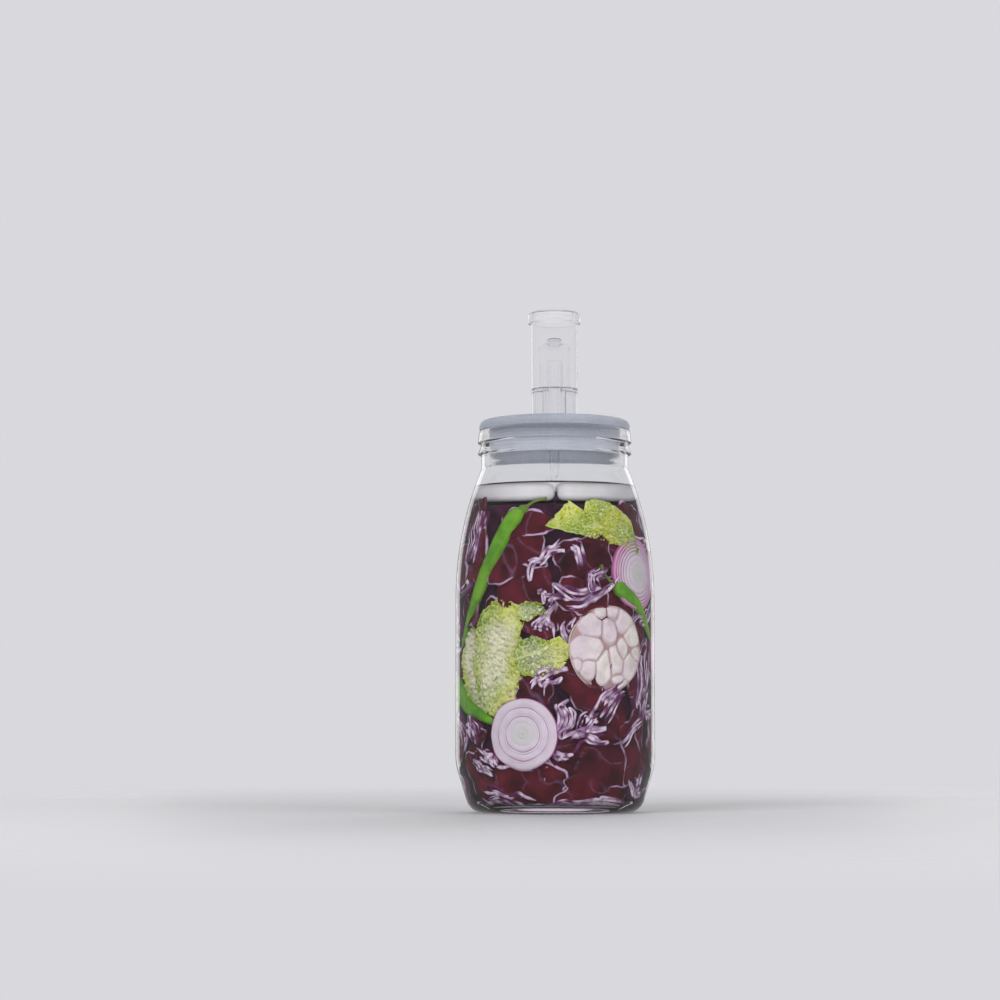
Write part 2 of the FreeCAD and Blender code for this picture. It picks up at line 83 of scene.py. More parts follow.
def roundedPath(corners, longest=3.0, bendStep=7.0):
    # open path through (radius, height, rounding) corners, with arcs at the roundings
    points = [Vector((c[0], c[1])) for c in corners]
    path = [points[0]]
    for i in range(1, len(corners) - 1):
        back = (points[i - 1] - points[i]).normalized()
        ahead = (points[i + 1] - points[i]).normalized()
        half = (math.pi - back.angle(ahead)) / 2
        reach = corners[i][2] * math.tan(half)
        if reach < 1e-5:
            path.append(points[i])
            continue
        inward = (back + ahead).normalized()
        centre = points[i] + inward * (corners[i][2] / math.cos(half))
        start = points[i] + back * reach - centre
        end = points[i] + ahead * reach - centre
        arcLength = corners[i][2] * half * 2
        steps = max(2, math.ceil(math.degrees(half * 2) / bendStep), math.ceil(arcLength / longest))
        turn = start.angle_signed(end)
        for k in range(steps + 1):
            swing = -turn * k / steps
            path.append(centre + Vector((start.x * math.cos(swing) - start.y * math.sin(swing),
                                         start.x * math.sin(swing) + start.y * math.cos(swing))))
    path.append(points[-1])
    fine = [path[0]]
    for a, b in zip(path, path[1:]):
        count = max(1, math.ceil((b - a).length / longest))
        fine += [a.lerp(b, k / count) for k in range(1, count + 1)]
    return [(p.x, p.y) for p in fine]


def smoothLine(points, count):
    # even run of points on a curve through the given ones
    points = [Vector(p) for p in points]
    points = [points[0] * 2 - points[1]] + points + [points[-1] * 2 - points[-2]]
    spans = len(points) - 3
    line = []
    for k in range(count + 1):
        t = spans * k / count
        i = min(int(t), spans - 1)
        f = t - i
        a, b, c, d = points[i:i + 4]
        square = (2 * a - 5 * b + 4 * c - d) * f ** 2
        cube = (3 * b - a - 3 * c + d) * f ** 3
        line.append(0.5 * (2 * b + (c - a) * f + square + cube))
    return line


# meshes

def latheMesh(path, spokes, closed, move=None):
    # turns a path about Z; move(point, angle) may shift each point
    verts, faces, rings = [], [], []
    for radius, height in path:
        if radius < 1e-4:
            rings.append([len(verts)])
            verts.append(Vector((0, 0, height)))
            continue
        ring = []
        for angle in ringAngles(spokes):
            point = polar(radius, angle, height)
            ring.append(len(verts))
            verts.append(move(point, angle) if move else point)
        rings.append(ring)
    pairs = list(zip(rings, rings[1:])) + ([(rings[-1], rings[0])] if closed else [])
    for low, high in pairs:
        for k in range(spokes):
            n = (k + 1) % spokes
            if len(low) == 1 and len(high) == 1:
                continue
            if len(low) == 1:
                faces.append((low[0], high[n], high[k]))
            elif len(high) == 1:
                faces.append((low[k], low[n], high[0]))
            else:
                faces.append((low[k], low[n], high[n], high[k]))
    return verts, faces


def addPiece(name, verts, faces, material, body, tones=None, replaced=()):
    mesh = bpy.data.meshes.new(name)
    mesh.from_pydata([v * mm for v in verts], [], faces)
    if tones:
        layer = mesh.color_attributes.new("tone", "FLOAT_COLOR", "POINT")
        layer.data.foreach_set("color", [c for tone in tones for c in (*tone, 1.0)])
    mesh.materials.append(material)
    mesh.shade_smooth()
    mesh.validate()
    piece = bpy.data.objects.new(name, mesh)
    scene.collection.objects.link(piece)
    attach(piece, body)
    if replaced:
        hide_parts(*replaced)
    return piece


def addSecond(piece, material, chosen):
    # gives some faces of a piece a second material
    piece.data.materials.append(material)
    for face in piece.data.polygons:
        if chosen(math.hypot(face.center.x, face.center.y) / mm, face.center.z / mm):
            face.material_index = 1


def letLightThrough(piece):
    piece.visible_shadow = False  # lamps light what stands behind clear pieces


def addClear(name, path, spokes, material, body, replaced, closed=False, move=None):
    # turned piece that lets light through
    verts, faces = latheMesh(path, spokes, closed, move)
    piece = addPiece(name, verts, faces, material, body, replaced=[replaced])
    letLightThrough(piece)
    print(name, len(verts))
    return piece


# materials; the owner of a node is a material or the world

def addNode(owner, kind, sockets=None, **settings):
    node = owner.node_tree.nodes.new("ShaderNode" + kind)
    for key, value in settings.items():
        setattr(node, key, value)
    for key, value in (sockets or {}).items():
        node.inputs[key].default_value = value
    return node


def join(owner, source, target):
    owner.node_tree.links.new(source, target)


def shaderOf(material):
    return material.node_tree.nodes["Principled BSDF"]


def newMaterial(name, **sockets):
    material = bpy.data.materials.new(name)
    material.use_nodes = True
    for key, value in sockets.items():
        shaderOf(material).inputs[key.replace("_", " ")].default_value = value
    return material


def colourFrom(material, source):
    join(material, source, shaderOf(material).inputs["Base Color"])


def noiseNode(material, scale, detail=4.0, rough=0.5):
    where = addNode(material, "TexCoord")
    grain = addNode(material, "TexNoise", {"Scale": scale, "Detail": detail, "Roughness": rough})
    join(material, where.outputs["Object"], grain.inputs["Vector"])
    return grain.outputs["Fac"]


def rampNode(material, source, *stops):
    ramp = addNode(material, "ValToRGB")
    while len(ramp.color_ramp.elements) < len(stops):
        ramp.color_ramp.elements.new(0.5)
    for element, (place, colour) in zip(ramp.color_ramp.elements, stops):
        element.position = place
        element.color = (*colour, 1.0)
    join(material, source, ramp.inputs["Fac"])
    return ramp.outputs["Color"]


def mixNode(material, factor, first, second, blend="MIX"):
    mix = addNode(material, "Mix", data_type="RGBA", blend_type=blend)
    for name, value in (("Factor", factor), ("A", first), ("B", second)):
        if isinstance(value, (int, float)):
            mix.inputs[name].default_value = value
        elif isinstance(value, tuple):
            mix.inputs[name].default_value = (*value, 1.0)
        else:
            join(material, value, mix.inputs[name])
    return mix.outputs["Result"]


def timesNode(material, first, second):
    return mixNode(material, 1.0, first, second, "MULTIPLY")


def shareNode(material, source, share):
    times = addNode(material, "Math", {1: share}, operation="MULTIPLY")
    join(material, source, times.inputs[0])
    return times.outputs[0]


def mixShaders(owner, factor, first, second):
    mix = addNode(owner, "MixShader")
    for socket, source in zip(mix.inputs, (factor, first, second)):
        join(owner, source, socket)
    return mix.outputs["Shader"]


def bumpNode(material, height, strength, depth):
    bump = addNode(material, "Bump", {"Strength": strength, "Distance": depth * mm})
    join(material, height, bump.inputs["Height"])
    join(material, bump.outputs["Normal"], shaderOf(material).inputs["Normal"])


def roughNode(material, source, low, high):
    span = addNode(material, "MapRange", {"To Min": low, "To Max": high})
    join(material, source, span.inputs["Value"])
    join(material, span.outputs["Result"], shaderOf(material).inputs["Roughness"])


def toneChannels(material):
    tone = addNode(material, "VertexColor", layer_name="tone")
    split = addNode(material, "SeparateColor")
    join(material, tone.outputs["Color"], split.inputs["Color"])
    return [split.outputs[channel] for channel in ("Red", "Green", "Blue")]


def absorb(material, colour, density):
    # darker where the wall is seen through lengthways
    inside = addNode(material, "VolumeAbsorption", {"Color": (*colour, 1.0), "Density": density})
    join(material, inside.outputs["Volume"], material.node_tree.nodes["Material Output"].inputs["Volume"])


def liquidMaterial(name, tint, ior, ripple, strength, depth):
    material = newMaterial(name, Base_Color=(*tint, 1), Roughness=0.0, IOR=ior, Transmission_Weight=1.0)
    bumpNode(material, noiseNode(material, *ripple), strength, depth)
    return material


# jar glass

jar = {
    "bodyRadius": 70.0, "height": 268.5, "wall": 4.0,
    "heelHeight": 34.0, "heelTaper": 17.0, "heelRound": 40.0, "baseRound": 12.0,
    "floor": 7.0, "floorRound": 12.0,
    "puntRadius": 46.5, "puntSlope": 5.0, "puntDepth": 2.0, "puntRound": 1.5,
    "shoulderSlope": 22.0, "shoulderRound": 240.0,
    "neckRadius": 51.8, "neckLength": 26.8, "neckRound": 6.0, "mouthRadius": 47.0,
    "rimRadius": 53.3, "rimRound": 1.5,
    "ridges": 2, "ridgeRadius": 54.4, "ridgeDrop": 8.6, "ridgePitch": 8.0,
    "ridgeFlank": 1.2, "ridgeRound": 0.5,
    "spokes": 256, "ripple": 0.16, "knurls": 64, "knurlDepth": 0.35, "knurlTop": 0.6,
    "ior": 1.5, "tint": (0.975, 0.98, 0.982),
}
neckFoot = jar["height"] - jar["neckLength"]
heelLean = math.tan(math.radians(jar["heelTaper"]))
shoulderSlope = math.radians(jar["shoulderSlope"])
shoulderFoot = neckFoot - (jar["bodyRadius"] - jar["neckRadius"]) / math.tan(shoulderSlope)
baseRadius = jar["bodyRadius"] - jar["heelHeight"] * heelLean


def cavityCorners():
    wall = jar["wall"]
    inner = jar["bodyRadius"] - wall
    base = baseRadius - wall / math.cos(math.radians(jar["heelTaper"]))
    shoulder = shoulderFoot - wall * math.tan(shoulderSlope / 2)
    bore = jar["mouthRadius"]
    return [
        (0.0, jar["floor"], 0),
        (base + jar["floor"] * heelLean, jar["floor"], jar["floorRound"]),
        (inner, (inner - base) / heelLean, jar["heelRound"] - wall),
        (inner, shoulder, jar["shoulderRound"] - wall),
        (bore, shoulder + (inner - bore) / math.tan(shoulderSlope), jar["neckRound"] + wall),
    ]


def jarPath():
    outside = [
        (0.0, jar["puntDepth"], 0),
        (jar["puntRadius"] - jar["puntSlope"], jar["puntDepth"], jar["puntRound"]),
        (jar["puntRadius"], 0.0, jar["puntRound"]),
        (baseRadius, 0.0, jar["baseRound"]),
        (jar["bodyRadius"], jar["heelHeight"], jar["heelRound"]),
        (jar["bodyRadius"], shoulderFoot, jar["shoulderRound"]),
        (jar["neckRadius"], neckFoot, jar["neckRound"]),
    ]
    for ridge in reversed(range(jar["ridges"])):
        crest = jar["height"] - jar["ridgeDrop"] - ridge * jar["ridgePitch"]
        outside.append((jar["neckRadius"], crest - jar["ridgeFlank"], jar["ridgeRound"]))
        outside.append((jar["ridgeRadius"], crest, jar["ridgeRound"]))
    rim = [(radius, jar["height"], jar["rimRound"]) for radius in (jar["rimRadius"], jar["mouthRadius"])]
    return roundedPath(outside + rim + cavityCorners()[::-1], longest=2.5)


cavityPath = roundedPath(cavityCorners() + [(jar["mouthRadius"], jar["height"], 0)], longest=2.0)


def wallRadius(z):
    # inside radius of the glass at a height
    if z <= cavityPath[1][1]:
        z = jar["floor"] + 0.01
    for (r0, z0), (r1, z1) in zip(cavityPath, cavityPath[1:]):
        if z0 <= z <= z1 and z1 > z0:
            return lerp(r0, r1, (z - z0) / (z1 - z0))
    return jar["mouthRadius"]


def shapeGlass(point, angle):
    # uneven blown wall inside and a knurled base ring below
    radius = math.hypot(point.x, point.y)
    shift = 0.0
    if radius < wallRadius(point.z) + 0.5 and jar["floor"] < point.z < neckFoot:
        shift = jar["ripple"] * wave(Vector((point.x, point.y, point.z * 0.6)) * 0.035)
    lift = 0.0
    if point.z < jar["knurlTop"] and radius > jar["puntRadius"]:
        lift = jar["knurlDepth"] * (0.5 - 0.5 * math.cos(angle * jar["knurls"]))
        lift *= smoothStep(0.0, 0.3, radius - jar["puntRadius"])
    scale = (radius + shift) / radius
    return Vector((point.x * scale, point.y * scale, point.z + lift))


def glassMaterial(name, ior):
    return liquidMaterial(name, jar["tint"], ior, (26.0, 1.5), 0.25, 0.35)


def isWet(radius, z):
    # inner wall that liquid covers
    inWall = radius < wallRadius(max(z, jar["floor"])) + 0.6
    return jar["floor"] - 0.5 < z < brine["level"] + 0.8 and inWall


def buildJar():
    dry = glassMaterial("jarGlass", jar["ior"])
    piece = addClear("jarGlass", jarPath(), jar["spokes"], dry, "jar", "glass_jar",
                     move=shapeGlass)
    addSecond(piece, glassMaterial("jarGlassWet", jar["ior"] / brine["ior"]), isWet)


# brine

brine = {
    "level": 226.8, "intoGlass": 0.2, "meniscus": 1.4, "meniscusWidth": 3.2, "tint": (0.965, 0.93, 0.96),
    "ior": 1.333, "spokes": 192,
}


def brineMaterial(name, ior):
    return liquidMaterial(name, brine["tint"], ior, (30.0, 1.0), 0.1, 0.3)


def isAgainstGlass(radius, z):
    # side of the liquid, which the wall of the jar already bends light at
    return z < brine["level"] - 0.02 or radius > wallRadius(brine["level"]) + 0.1


def buildBrine():
    into, level, climb = brine["intoGlass"], brine["level"], brine["meniscus"]
    path = []
    for r, z in cavityPath:
        onFloor = z < jar["floor"] + 0.5
        if z < level + climb - 0.4:
            path.append((r, z - into) if onFloor else (r + into, z))
    edge = wallRadius(level)
    for k in range(9):  # liquid climbs the glass a little
        path.append((edge + into - brine["meniscusWidth"] * k / 8, level + climb * (1 - k / 8) ** 3))
    path += [(edge * (1 - k / 10), level) for k in range(1, 11)]
    top = brineMaterial("brineTop", brine["ior"])
    piece = addClear("brineLiquid", path, brine["spokes"], top, "jar", "brine")
    addSecond(piece, brineMaterial("brineSide", 1.0), isAgainstGlass)


# vegetables: shared placing

packing = {
    "joint": "left_weight_settle", "anchor": 7.0, "keep": 0.8549,
    "top": 213.2, "edgeTop": 219.5, "edgeFrom": 48.0, "nearest": 0.7, "layerShare": 0.45,
    "viewDistance": 1900.0, "viewHeight": 62.0, "viewStretch": 1.035, "seed": 21,
}
rng = random.Random(packing["seed"])


def seen(x, z):
    # angle and height on the wall of a spot that shows at x, z from the front
    outline = wallRadius(z) + jar["wall"]
    across = max(-0.995, min(0.995, x / outline))
    near = outline * math.sqrt(1 - across * across) / packing["viewDistance"]
    angle = packing["viewStretch"] * math.asin(across * (1 - near))
    return angle, packing["viewHeight"] + (z - packing["viewHeight"]) * (1 - near)


def keepInside(point, nearest):
    radius = math.hypot(point.x, point.y)
    top = packing["edgeTop"] if radius > packing["edgeFrom"] else packing["top"]
    z = min(max(point.z, jar["floor"] + 0.5), top)
    limit = wallRadius(z) - nearest
    scale = limit / radius if radius > limit else 1.0
    return Vector((point.x * scale, point.y * scale, z))


def wallMap(angle, z, layer, bend, turn=0.0):
    # gives place(u, v, w): u right, v up, w towards the glass, pressed flat where it meets it
    radius = wallRadius(z)
    outward = polar(1, angle, 0)
    right = Vector((math.cos(angle), math.sin(angle), 0))
    start = outward * (radius - layer) + Vector((0, 0, z))
    cosTurn, sinTurn = math.cos(math.radians(turn)), math.sin(math.radians(turn))
    nearest = min(packing["nearest"] + packing["layerShare"] * layer, layer)

    def place(u, v, w):
        u, v = u * cosTurn - v * sinTurn, u * sinTurn + v * cosTurn
        flat = start + right * u + outward * w + Vector((0, 0, v))
        swing = angle + u / radius
        height = min(max(z + v, jar["floor"]), packing["edgeTop"])
        reach = wallRadius(height) - layer + w
        curved = polar(reach, swing, z + v)
        return keepInside(flat.lerp(curved, bend), nearest)
    return place


def newHeap():
    return {"verts": [], "faces": [], "tones": []}


def heapGrid(heap, rows, tones, wrap=False):
    # joins rows of points into a surface; wrap closes each row
    start, wide = len(heap["verts"]), len(rows[0])
    for row, shades in zip(rows, tones):
        heap["verts"] += row
        heap["tones"] += shades
    for i in range(len(rows) - 1):
        for k in range(wide if wrap else wide - 1):
            n = (k + 1) % wide
            a, b = start + i * wide, start + (i + 1) * wide
            heap["faces"].append((a + k, b + k, b + n, a + n))


def heapRings(heap, rings, spokes):
    # a ring is a maker and its value; maker(value, theta) gives a point and its tone
    rows, tones = [], []
    for maker, value in rings:
        marks = [maker(value, theta) for theta in ringAngles(spokes)]
        rows.append([point for point, tone in marks])
        tones.append([tone for point, tone in marks])
    heapGrid(heap, rows, tones, wrap=True)


def addHeap(name, heap, material):
    piece = addPiece(name, heap["verts"], heap["faces"], material, "jar", heap["tones"],
                     ["vegetable_packing"])
    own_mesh(piece)
    print(name, len(heap["verts"]))


def wetMaterial(name, rough):
    return newMaterial(name, Roughness=rough, IOR=1.38, Specular_IOR_Level=0.1)


# vegetables: red cabbage leaves

leaf = {
    "rings": 16, "spokes": 80, "bend": 0.75, "ragged": 0.22, "wrinkle": 1.5, "crease": 0.5,
    "rims": ((0.25, 0.1, 1.0), (1.1, 0.8, 1.0), (0.88, 2.4, 0.4)),  # reach, drop and paleness
    "wine": (0.068, 0.008, 0.014), "bright": (0.128, 0.013, 0.026), "deep": (0.015, 0.004, 0.006),
    "lilac": (0.34, 0.21, 0.40), "rim": (0.60, 0.48, 0.64), "veinShare": 0.22,
}


def addLeaf(heap, angle, z, wide, tall, turn, layer, curl=3.0):
    seed = rng.uniform(0, 90)
    lean = rng.uniform(0, 6.28)
    shade = rng.uniform(0.2, 1.0)
    place = wallMap(angle, z, layer, leaf["bend"], turn)

    def sheet(s, theta, grow=0.0):
        around = onCircle(theta, seed)
        rho = 1 + leaf["ragged"] * (1.6 * wave(around * 1.6) + 0.4 * wave(around * 5.0))
        square = (abs(math.cos(theta)) ** 4 + abs(math.sin(theta)) ** 4) ** -0.25
        u = (s * rho * square * wide / 2 + grow) * math.cos(theta)
        v = (s * rho * square * tall / 2 + grow) * math.sin(theta)
        spread = Vector((u, v, seed * 3))
        w = leaf["wrinkle"] * wave(spread * 0.06) + leaf["crease"] * wave(spread * 0.22)
        w += curl * s * s * (0.3 + 0.7 * math.cos(theta - lean)) + 1.2 * s ** 6 * wave(around * 3.3)
        return u, v, w, spread

    def blade(s, theta):
        u, v, w, spread = sheet(s, theta)
        vein = 1 - smoothStep(0.0, 0.05, abs(wave(spread * 0.05 + Vector((7, 3, 1)))))
        return place(u, v, w), (0.0, vein, shade)

    def rim(step, theta):
        grow, drop, pale = step
        cut = 0.5 + 0.9 * wave(Vector((2 * math.cos(theta), 2 * math.sin(theta), seed + 4)))
        u, v, w = sheet(1.0, theta, grow * (0.35 + 1.5 * max(cut, 0.0)))[:3]
        return place(u, v, w - drop), (pale * smoothStep(0.25, 0.75, cut), 0.0, shade)

    rings = [(blade, 0.02 + 0.98 * (k / leaf["rings"]) ** 0.8) for k in range(leaf["rings"] + 1)]
    heapRings(heap, rings + [(rim, step) for step in leaf["rims"]], leaf["spokes"])


def leafMaterial():
    material = wetMaterial("redCabbage", 0.42)
    pale, vein, shade = toneChannels(material)
    cloud = noiseNode(material, 70.0, 6.0, 0.6)
    fine = noiseNode(material, 420.0, 3.0)
    base = rampNode(material, cloud, (0.30, leaf["deep"]), (0.48, leaf["wine"]), (0.68, leaf["bright"]))
    dim = rampNode(material, shade, (0.0, (0.55, 0.6, 0.75)), (1.0, (1.15, 1.0, 1.0)))
    base = timesNode(material, base, dim)
    base = mixNode(material, shareNode(material, vein, leaf["veinShare"]), base, leaf["lilac"])
    edge = mixNode(material, fine, leaf["lilac"], leaf["rim"])
    colourFrom(material, mixNode(material, pale, base, edge))
    bumpNode(material, fine, 0.35, 0.25)
    return material


# vegetables: shredded red cabbage

shred = {
    "steps": 30, "thickness": 2.2, "depth": 6.5, "bend": 0.8, "warp": 7.0, "marks": 6,
    "profile": ((-1.0, 0.35, 0.0), (-0.66, 0.05, 0.8), (0.0, 0.0, 1.0), (0.66, 0.05, 0.8), (1.0, 0.35, 0.0)),
    "core": (0.74, 0.64, 0.76), "skin": (0.10, 0.018, 0.075), "mid": (0.30, 0.17, 0.33),
}


def addShreds(heap, angle, z, length, count, gap, turn, layer, bow, waves, swing):
    # strips lie side by side, and some fold back into the next lane
    seed = rng.uniform(0, 90)
    phase = rng.uniform(0, 6.28)
    place = wallMap(angle, z, layer, shred["bend"], turn)
    depth = shred["depth"]
    profile = [(-1.0, depth, 0.0), *shred["profile"], (1.0, depth, 0.0)]  # across, down and paleness

    def laneMarks(j):
        off = (j - (count - 1) / 2) * gap + rng.uniform(-0.25, 0.25) * gap
        reach = length * rng.uniform(0.5, 1.0)
        slide = rng.uniform(-0.16, 0.16) * length
        run = []
        for k in range(shred["marks"] + 1):
            u = (k / shred["marks"] - 0.5) * reach + slide
            v = off + bow * (1 - (2 * u / length) ** 2)
            v += swing * math.sin(6.28 * waves * u / length + phase + j * 0.3)
            shift = Vector((u, v, seed)) * 0.07
            u += shred["warp"] * wave(shift)
            v += shred["warp"] * wave(shift + Vector((5, 9, 2)))
            run.append(Vector((u, v)))
        return run

    lane = 0
    while lane < count:
        folds = min(rng.choice((1, 1, 2, 3)), count - lane)
        marks = []
        for j in range(lane, lane + folds):
            run = laneMarks(j)
            marks += run if (j - lane) % 2 == 0 else run[::-1]
        steps = shred["steps"] * folds
        line = smoothLine(marks, steps)
        thick = shred["thickness"] * rng.uniform(0.6, 1.5)
        dip = rng.uniform(-0.8, 0.4)
        rows, tones = [], []
        for k, spot in enumerate(line):
            t = k / steps
            ahead = line[min(k + 1, steps)] - line[max(k - 1, 0)]
            side = Vector((-ahead.y, ahead.x)).normalized()
            half = 0.5 * thick * min(1.0, 0.2 + 2.6 * math.sin(math.pi * t))
            half *= 1 + 0.6 * wave(Vector((t * 6 * folds, lane * 3.1, seed)))
            lift = dip + 1.2 * wave(Vector((t * 3 * folds, lane * 2.3, seed + 40)))
            light = smoothStep(-0.45, 0.15, wave(Vector((t * 4 * folds, lane * 1.7, seed + 11))))
            across = [(spot + side * half * part, down) for part, down, pale in profile]
            rows.append([place(p.x, p.y, lift - down) for p, down in across])
            tones.append([(pale * light, 0.0, 0.0) for part, down, pale in profile])
        heapGrid(heap, rows, tones)
        lane += folds


def shredMaterial():
    material = wetMaterial("shreddedCabbage", 0.4)
    pale = toneChannels(material)[0]
    cloud = noiseNode(material, 160.0, 4.0)
    core = rampNode(material, cloud, (0.35, shred["mid"]), (0.55, shred["core"]))
    colourFrom(material, mixNode(material, pale, shred["skin"], core))
    bumpNode(material, cloud, 0.3, 0.3)
    return material


# vegetables: savoy leaves

savoy = {
    "rings": 64, "spokes": 210, "bend": 0.7, "cell": 3.7, "fineCell": 0.48,
    "blister": 2.3, "frill": 3.2, "edge": 1.6,
    "vein": (0.66, 0.70, 0.33), "green": (0.225, 0.35, 0.028), "yellow": (0.50, 0.54, 0.065),
    "pale": (0.70, 0.69, 0.54), "deep": (0.07, 0.15, 0.008),
}


def outlineReach(outline, theta):
    # how far a star-shaped outline reaches from its middle in a direction
    aim = Vector((math.cos(theta), math.sin(theta)))
    side = Vector((-aim.y, aim.x))
    for a, b in zip(outline, outline[1:] + outline[:1]):
        a, b = Vector(a), Vector(b)
        da, db = a.dot(side), b.dot(side)
        if da * db <= 0 and da != db:
            cross = a.lerp(b, da / (da - db))
            if cross.dot(aim) > 0:
                return cross.length
    return 1.0


def cellBorder(point):
    # how far a point lies from the border of its cell
    near = noise.voronoi(point)[0]
    return near[1] - near[0]


def addSavoy(heap, angle, z, outline, turn, layer, ripeness=0.0, rib=(0.0, 90.0)):
    # ripeness 0 is yellow-green all over, 1 is whitish towards the rib
    seed = rng.uniform(0, 90)
    place = wallMap(angle, z, layer, savoy["bend"], turn)
    wide = max(p[0] for p in outline) - min(p[0] for p in outline)
    reaches = {theta: outlineReach(outline, theta) for theta in ringAngles(savoy["spokes"])}

    def blade(s, theta):
        around = onCircle(theta, seed)
        rho = reaches[theta] * (1 + 0.05 * wave(around * 4.5) + 0.07 * wave(around * 13))
        u, v = s * rho * math.cos(theta), s * rho * math.sin(theta)
        flat = Vector((u, v, seed))
        warp = Vector((wave(flat * 0.2), wave(flat * 0.2 + Vector((4, 4, 4))), 0)) * 1.2
        border = cellBorder((flat + warp) / savoy["cell"])
        fineBorder = cellBorder(flat / (savoy["cell"] * savoy["fineCell"]) + Vector((3, 8, 2)))
        bump = smoothStep(0.0, 0.6, border)
        along = u - rib[0]
        ribAway = abs((v - rib[1]) - 0.2 * along - 0.009 * along ** 2 + 1.5 * wave(flat * 0.09))
        ribLine = (1 - smoothStep(0.3, 1.4, ribAway)) * smoothStep(0.5, -0.3, u / wide)
        w = savoy["blister"] * (bump - 0.5) * (1 - 0.7 * ribLine) + 0.45 * smoothStep(0, 0.5, fineBorder)
        w += 2.4 * wave(flat * 0.05) + 1.2 * wave(flat * 0.11) + 0.8 * ribLine
        w += savoy["frill"] * s ** 7 * wave(Vector((theta * 7, seed, 2)))
        veins = max(1 - smoothStep(0.02, 0.22, border), ribLine)
        # painted shade: thin dark lines in the creases between the small blisters
        creviceShade = (1 - smoothStep(0.0, 0.14, fineBorder)) * (1 - veins) * (1 - 0.3 * ripeness)
        # painted highlight: white glints on the blister tops, added to the leaf's own whitening
        glint = smoothStep(0.10, 0.42, wave(flat * 0.5) + 0.3 * (fineBorder - 0.35))
        milkyAndGlint = ripeness * smoothStep(1.0, 0.25, s + 0.45 * wave(flat * 0.06))
        milkyAndGlint = min(milkyAndGlint + 0.75 * glint * smoothStep(0.15, 0.5, bump), 1.0)
        # painted light and shade: blister tops lighter and yellower, hollows deeper green; also a random
        # tone, and lighter towards the outer edge
        paintedLightAndTone = 0.45 + 0.8 * wave(flat * 0.045 + Vector((2, 2, 2)))
        paintedLightAndTone += 0.35 * (bump - 0.5) + 0.3 * (s - 0.5)
        tone = (0.5 + 0.5 * veins - 0.5 * creviceShade, milkyAndGlint, min(max(paintedLightAndTone, 0.0), 1.0))
        return place(u, v, w), tone

    def under(depth, theta):
        point = blade(1.0, theta)[0]
        return point - outwardOf(point) * depth, (0.85, 0.2, 0.6)

    rings = [(blade, 0.01 + 0.99 * (k / savoy["rings"]) ** 0.85) for k in range(savoy["rings"] + 1)]
    heapRings(heap, rings + [(under, savoy["edge"])], savoy["spokes"])


def savoyMaterial():
    material = wetMaterial("savoyCabbage", 0.45)
    vein, milkyAndGlint, paintedLightAndTone = toneChannels(material)
    cloud = noiseNode(material, 240.0, 4.0)
    body = rampNode(material, paintedLightAndTone, (0.0, savoy["deep"]), (0.35, savoy["green"]), (0.85, savoy["yellow"]))
    speck = rampNode(material, cloud, (0.3, (0.72, 0.76, 0.7)), (0.7, (1.15, 1.12, 1.1)))
    # the pale colour is the leaf's own whitening and painted highlight glints
    body = mixNode(material, milkyAndGlint, timesNode(material, body, speck), savoy["pale"])
    # below the middle the first tone channel darkens the leaf as painted shade in the creases; above it the
    # channel gives the pale veins
    dim = rampNode(material, vein, (0.0, (0.42, 0.45, 0.40)), (0.5, (1.0, 1.0, 1.0)))
    share = rampNode(material, vein, (0.5, (0.0, 0.0, 0.0)), (1.0, (0.62, 0.62, 0.62)))
    colourFrom(material, mixNode(material, share, timesNode(material, body, dim), savoy["vein"]))
    bumpNode(material, cloud, 0.4, 0.3)
    return material


# vegetables: onion slices

onion = {
    "spokes": 120, "groove": 0.6, "rimDrop": 0.9,
    "back": ((1.012, 1.6), (1.0, 4.8), (0.9, 8.0)),  # size and depth of the rings behind the cut
    "plain": {  # ring borders and how dark their lines are
        "borders": ((0.0, 0.0), (0.14, 0.05), (0.33, 0.12), (0.50, 0.9), (0.565, 0.35), (0.745, 1.0),
                    (0.80, 0.3), (1.0, 1.0)),
        "line": 0.017, "blush": 0.0},
    "red": {
        "borders": ((0.0, 0.0), (0.22, 0.1), (0.40, 0.25), (0.55, 0.6), (0.65, 0.9), (0.74, 1.0), (0.83, 1.0),
                    (0.915, 1.0), (1.0, 1.0)),
        "line": 0.026, "blush": 0.6},
    "flesh": (0.62, 0.56, 0.63), "heart": (0.52, 0.53, 0.505), "pink": (0.52, 0.16, 0.36),
    "lines": (0.34, 0.06, 0.24),
}


def addOnion(heap, angle, z, radius, turn, layer, kind, bend):
    seed = rng.uniform(0, 90)
    place = wallMap(angle, z, layer, bend, turn)
    borders, wide = onion[kind]["borders"], onion[kind]["line"]
    edges = [border for border, dark in borders]
    sizes = [1.0]
    for low, high in zip(edges, edges[1:]):
        sizes += [low, low + wide * 0.5, low + wide, lerp(low, high, 0.35), lerp(low, high, 0.65)]
        sizes += [high - wide, high - wide * 0.5]

    def ring(value, theta):
        size, down, (line, middle, blush) = value
        around = onCircle(theta, seed)
        wobble = 1 + 0.035 * wave(around * 1.3)
        wobble += 0.014 * wave(around * 3 + Vector((size * 4, 0, 0)))
        reach = size * radius * wobble
        fade = 0.75 + 0.5 * wave(around * 2 + Vector((0, 0, size * 9)))
        point = place(reach * math.cos(theta), reach * math.sin(theta), -down)
        return point, (min(1.0, line * fade), middle, blush)

    rings = []
    for s in sorted(size for size in sizes if size > 0.005):
        away, dark = min((abs(s - border), dark) for border, dark in borders)
        line = (1 - smoothStep(wide * 0.3, wide, away)) * dark
        sunk = onion["groove"] * (1 - smoothStep(0.0, wide * 2.2, away)) * (0.3 + dark)
        down = sunk + onion["rimDrop"] * smoothStep(0.95, 1.0, s)
        blush = onion[kind]["blush"] * smoothStep(0.62, 1.0, s)
        rings.append((ring, (s, down, (line, smoothStep(0.5, 0.1, s), blush))))
    rings += [(ring, (size, down, (1.0, 0.0, 0.8))) for size, down in onion["back"]]
    heapRings(heap, rings, onion["spokes"])


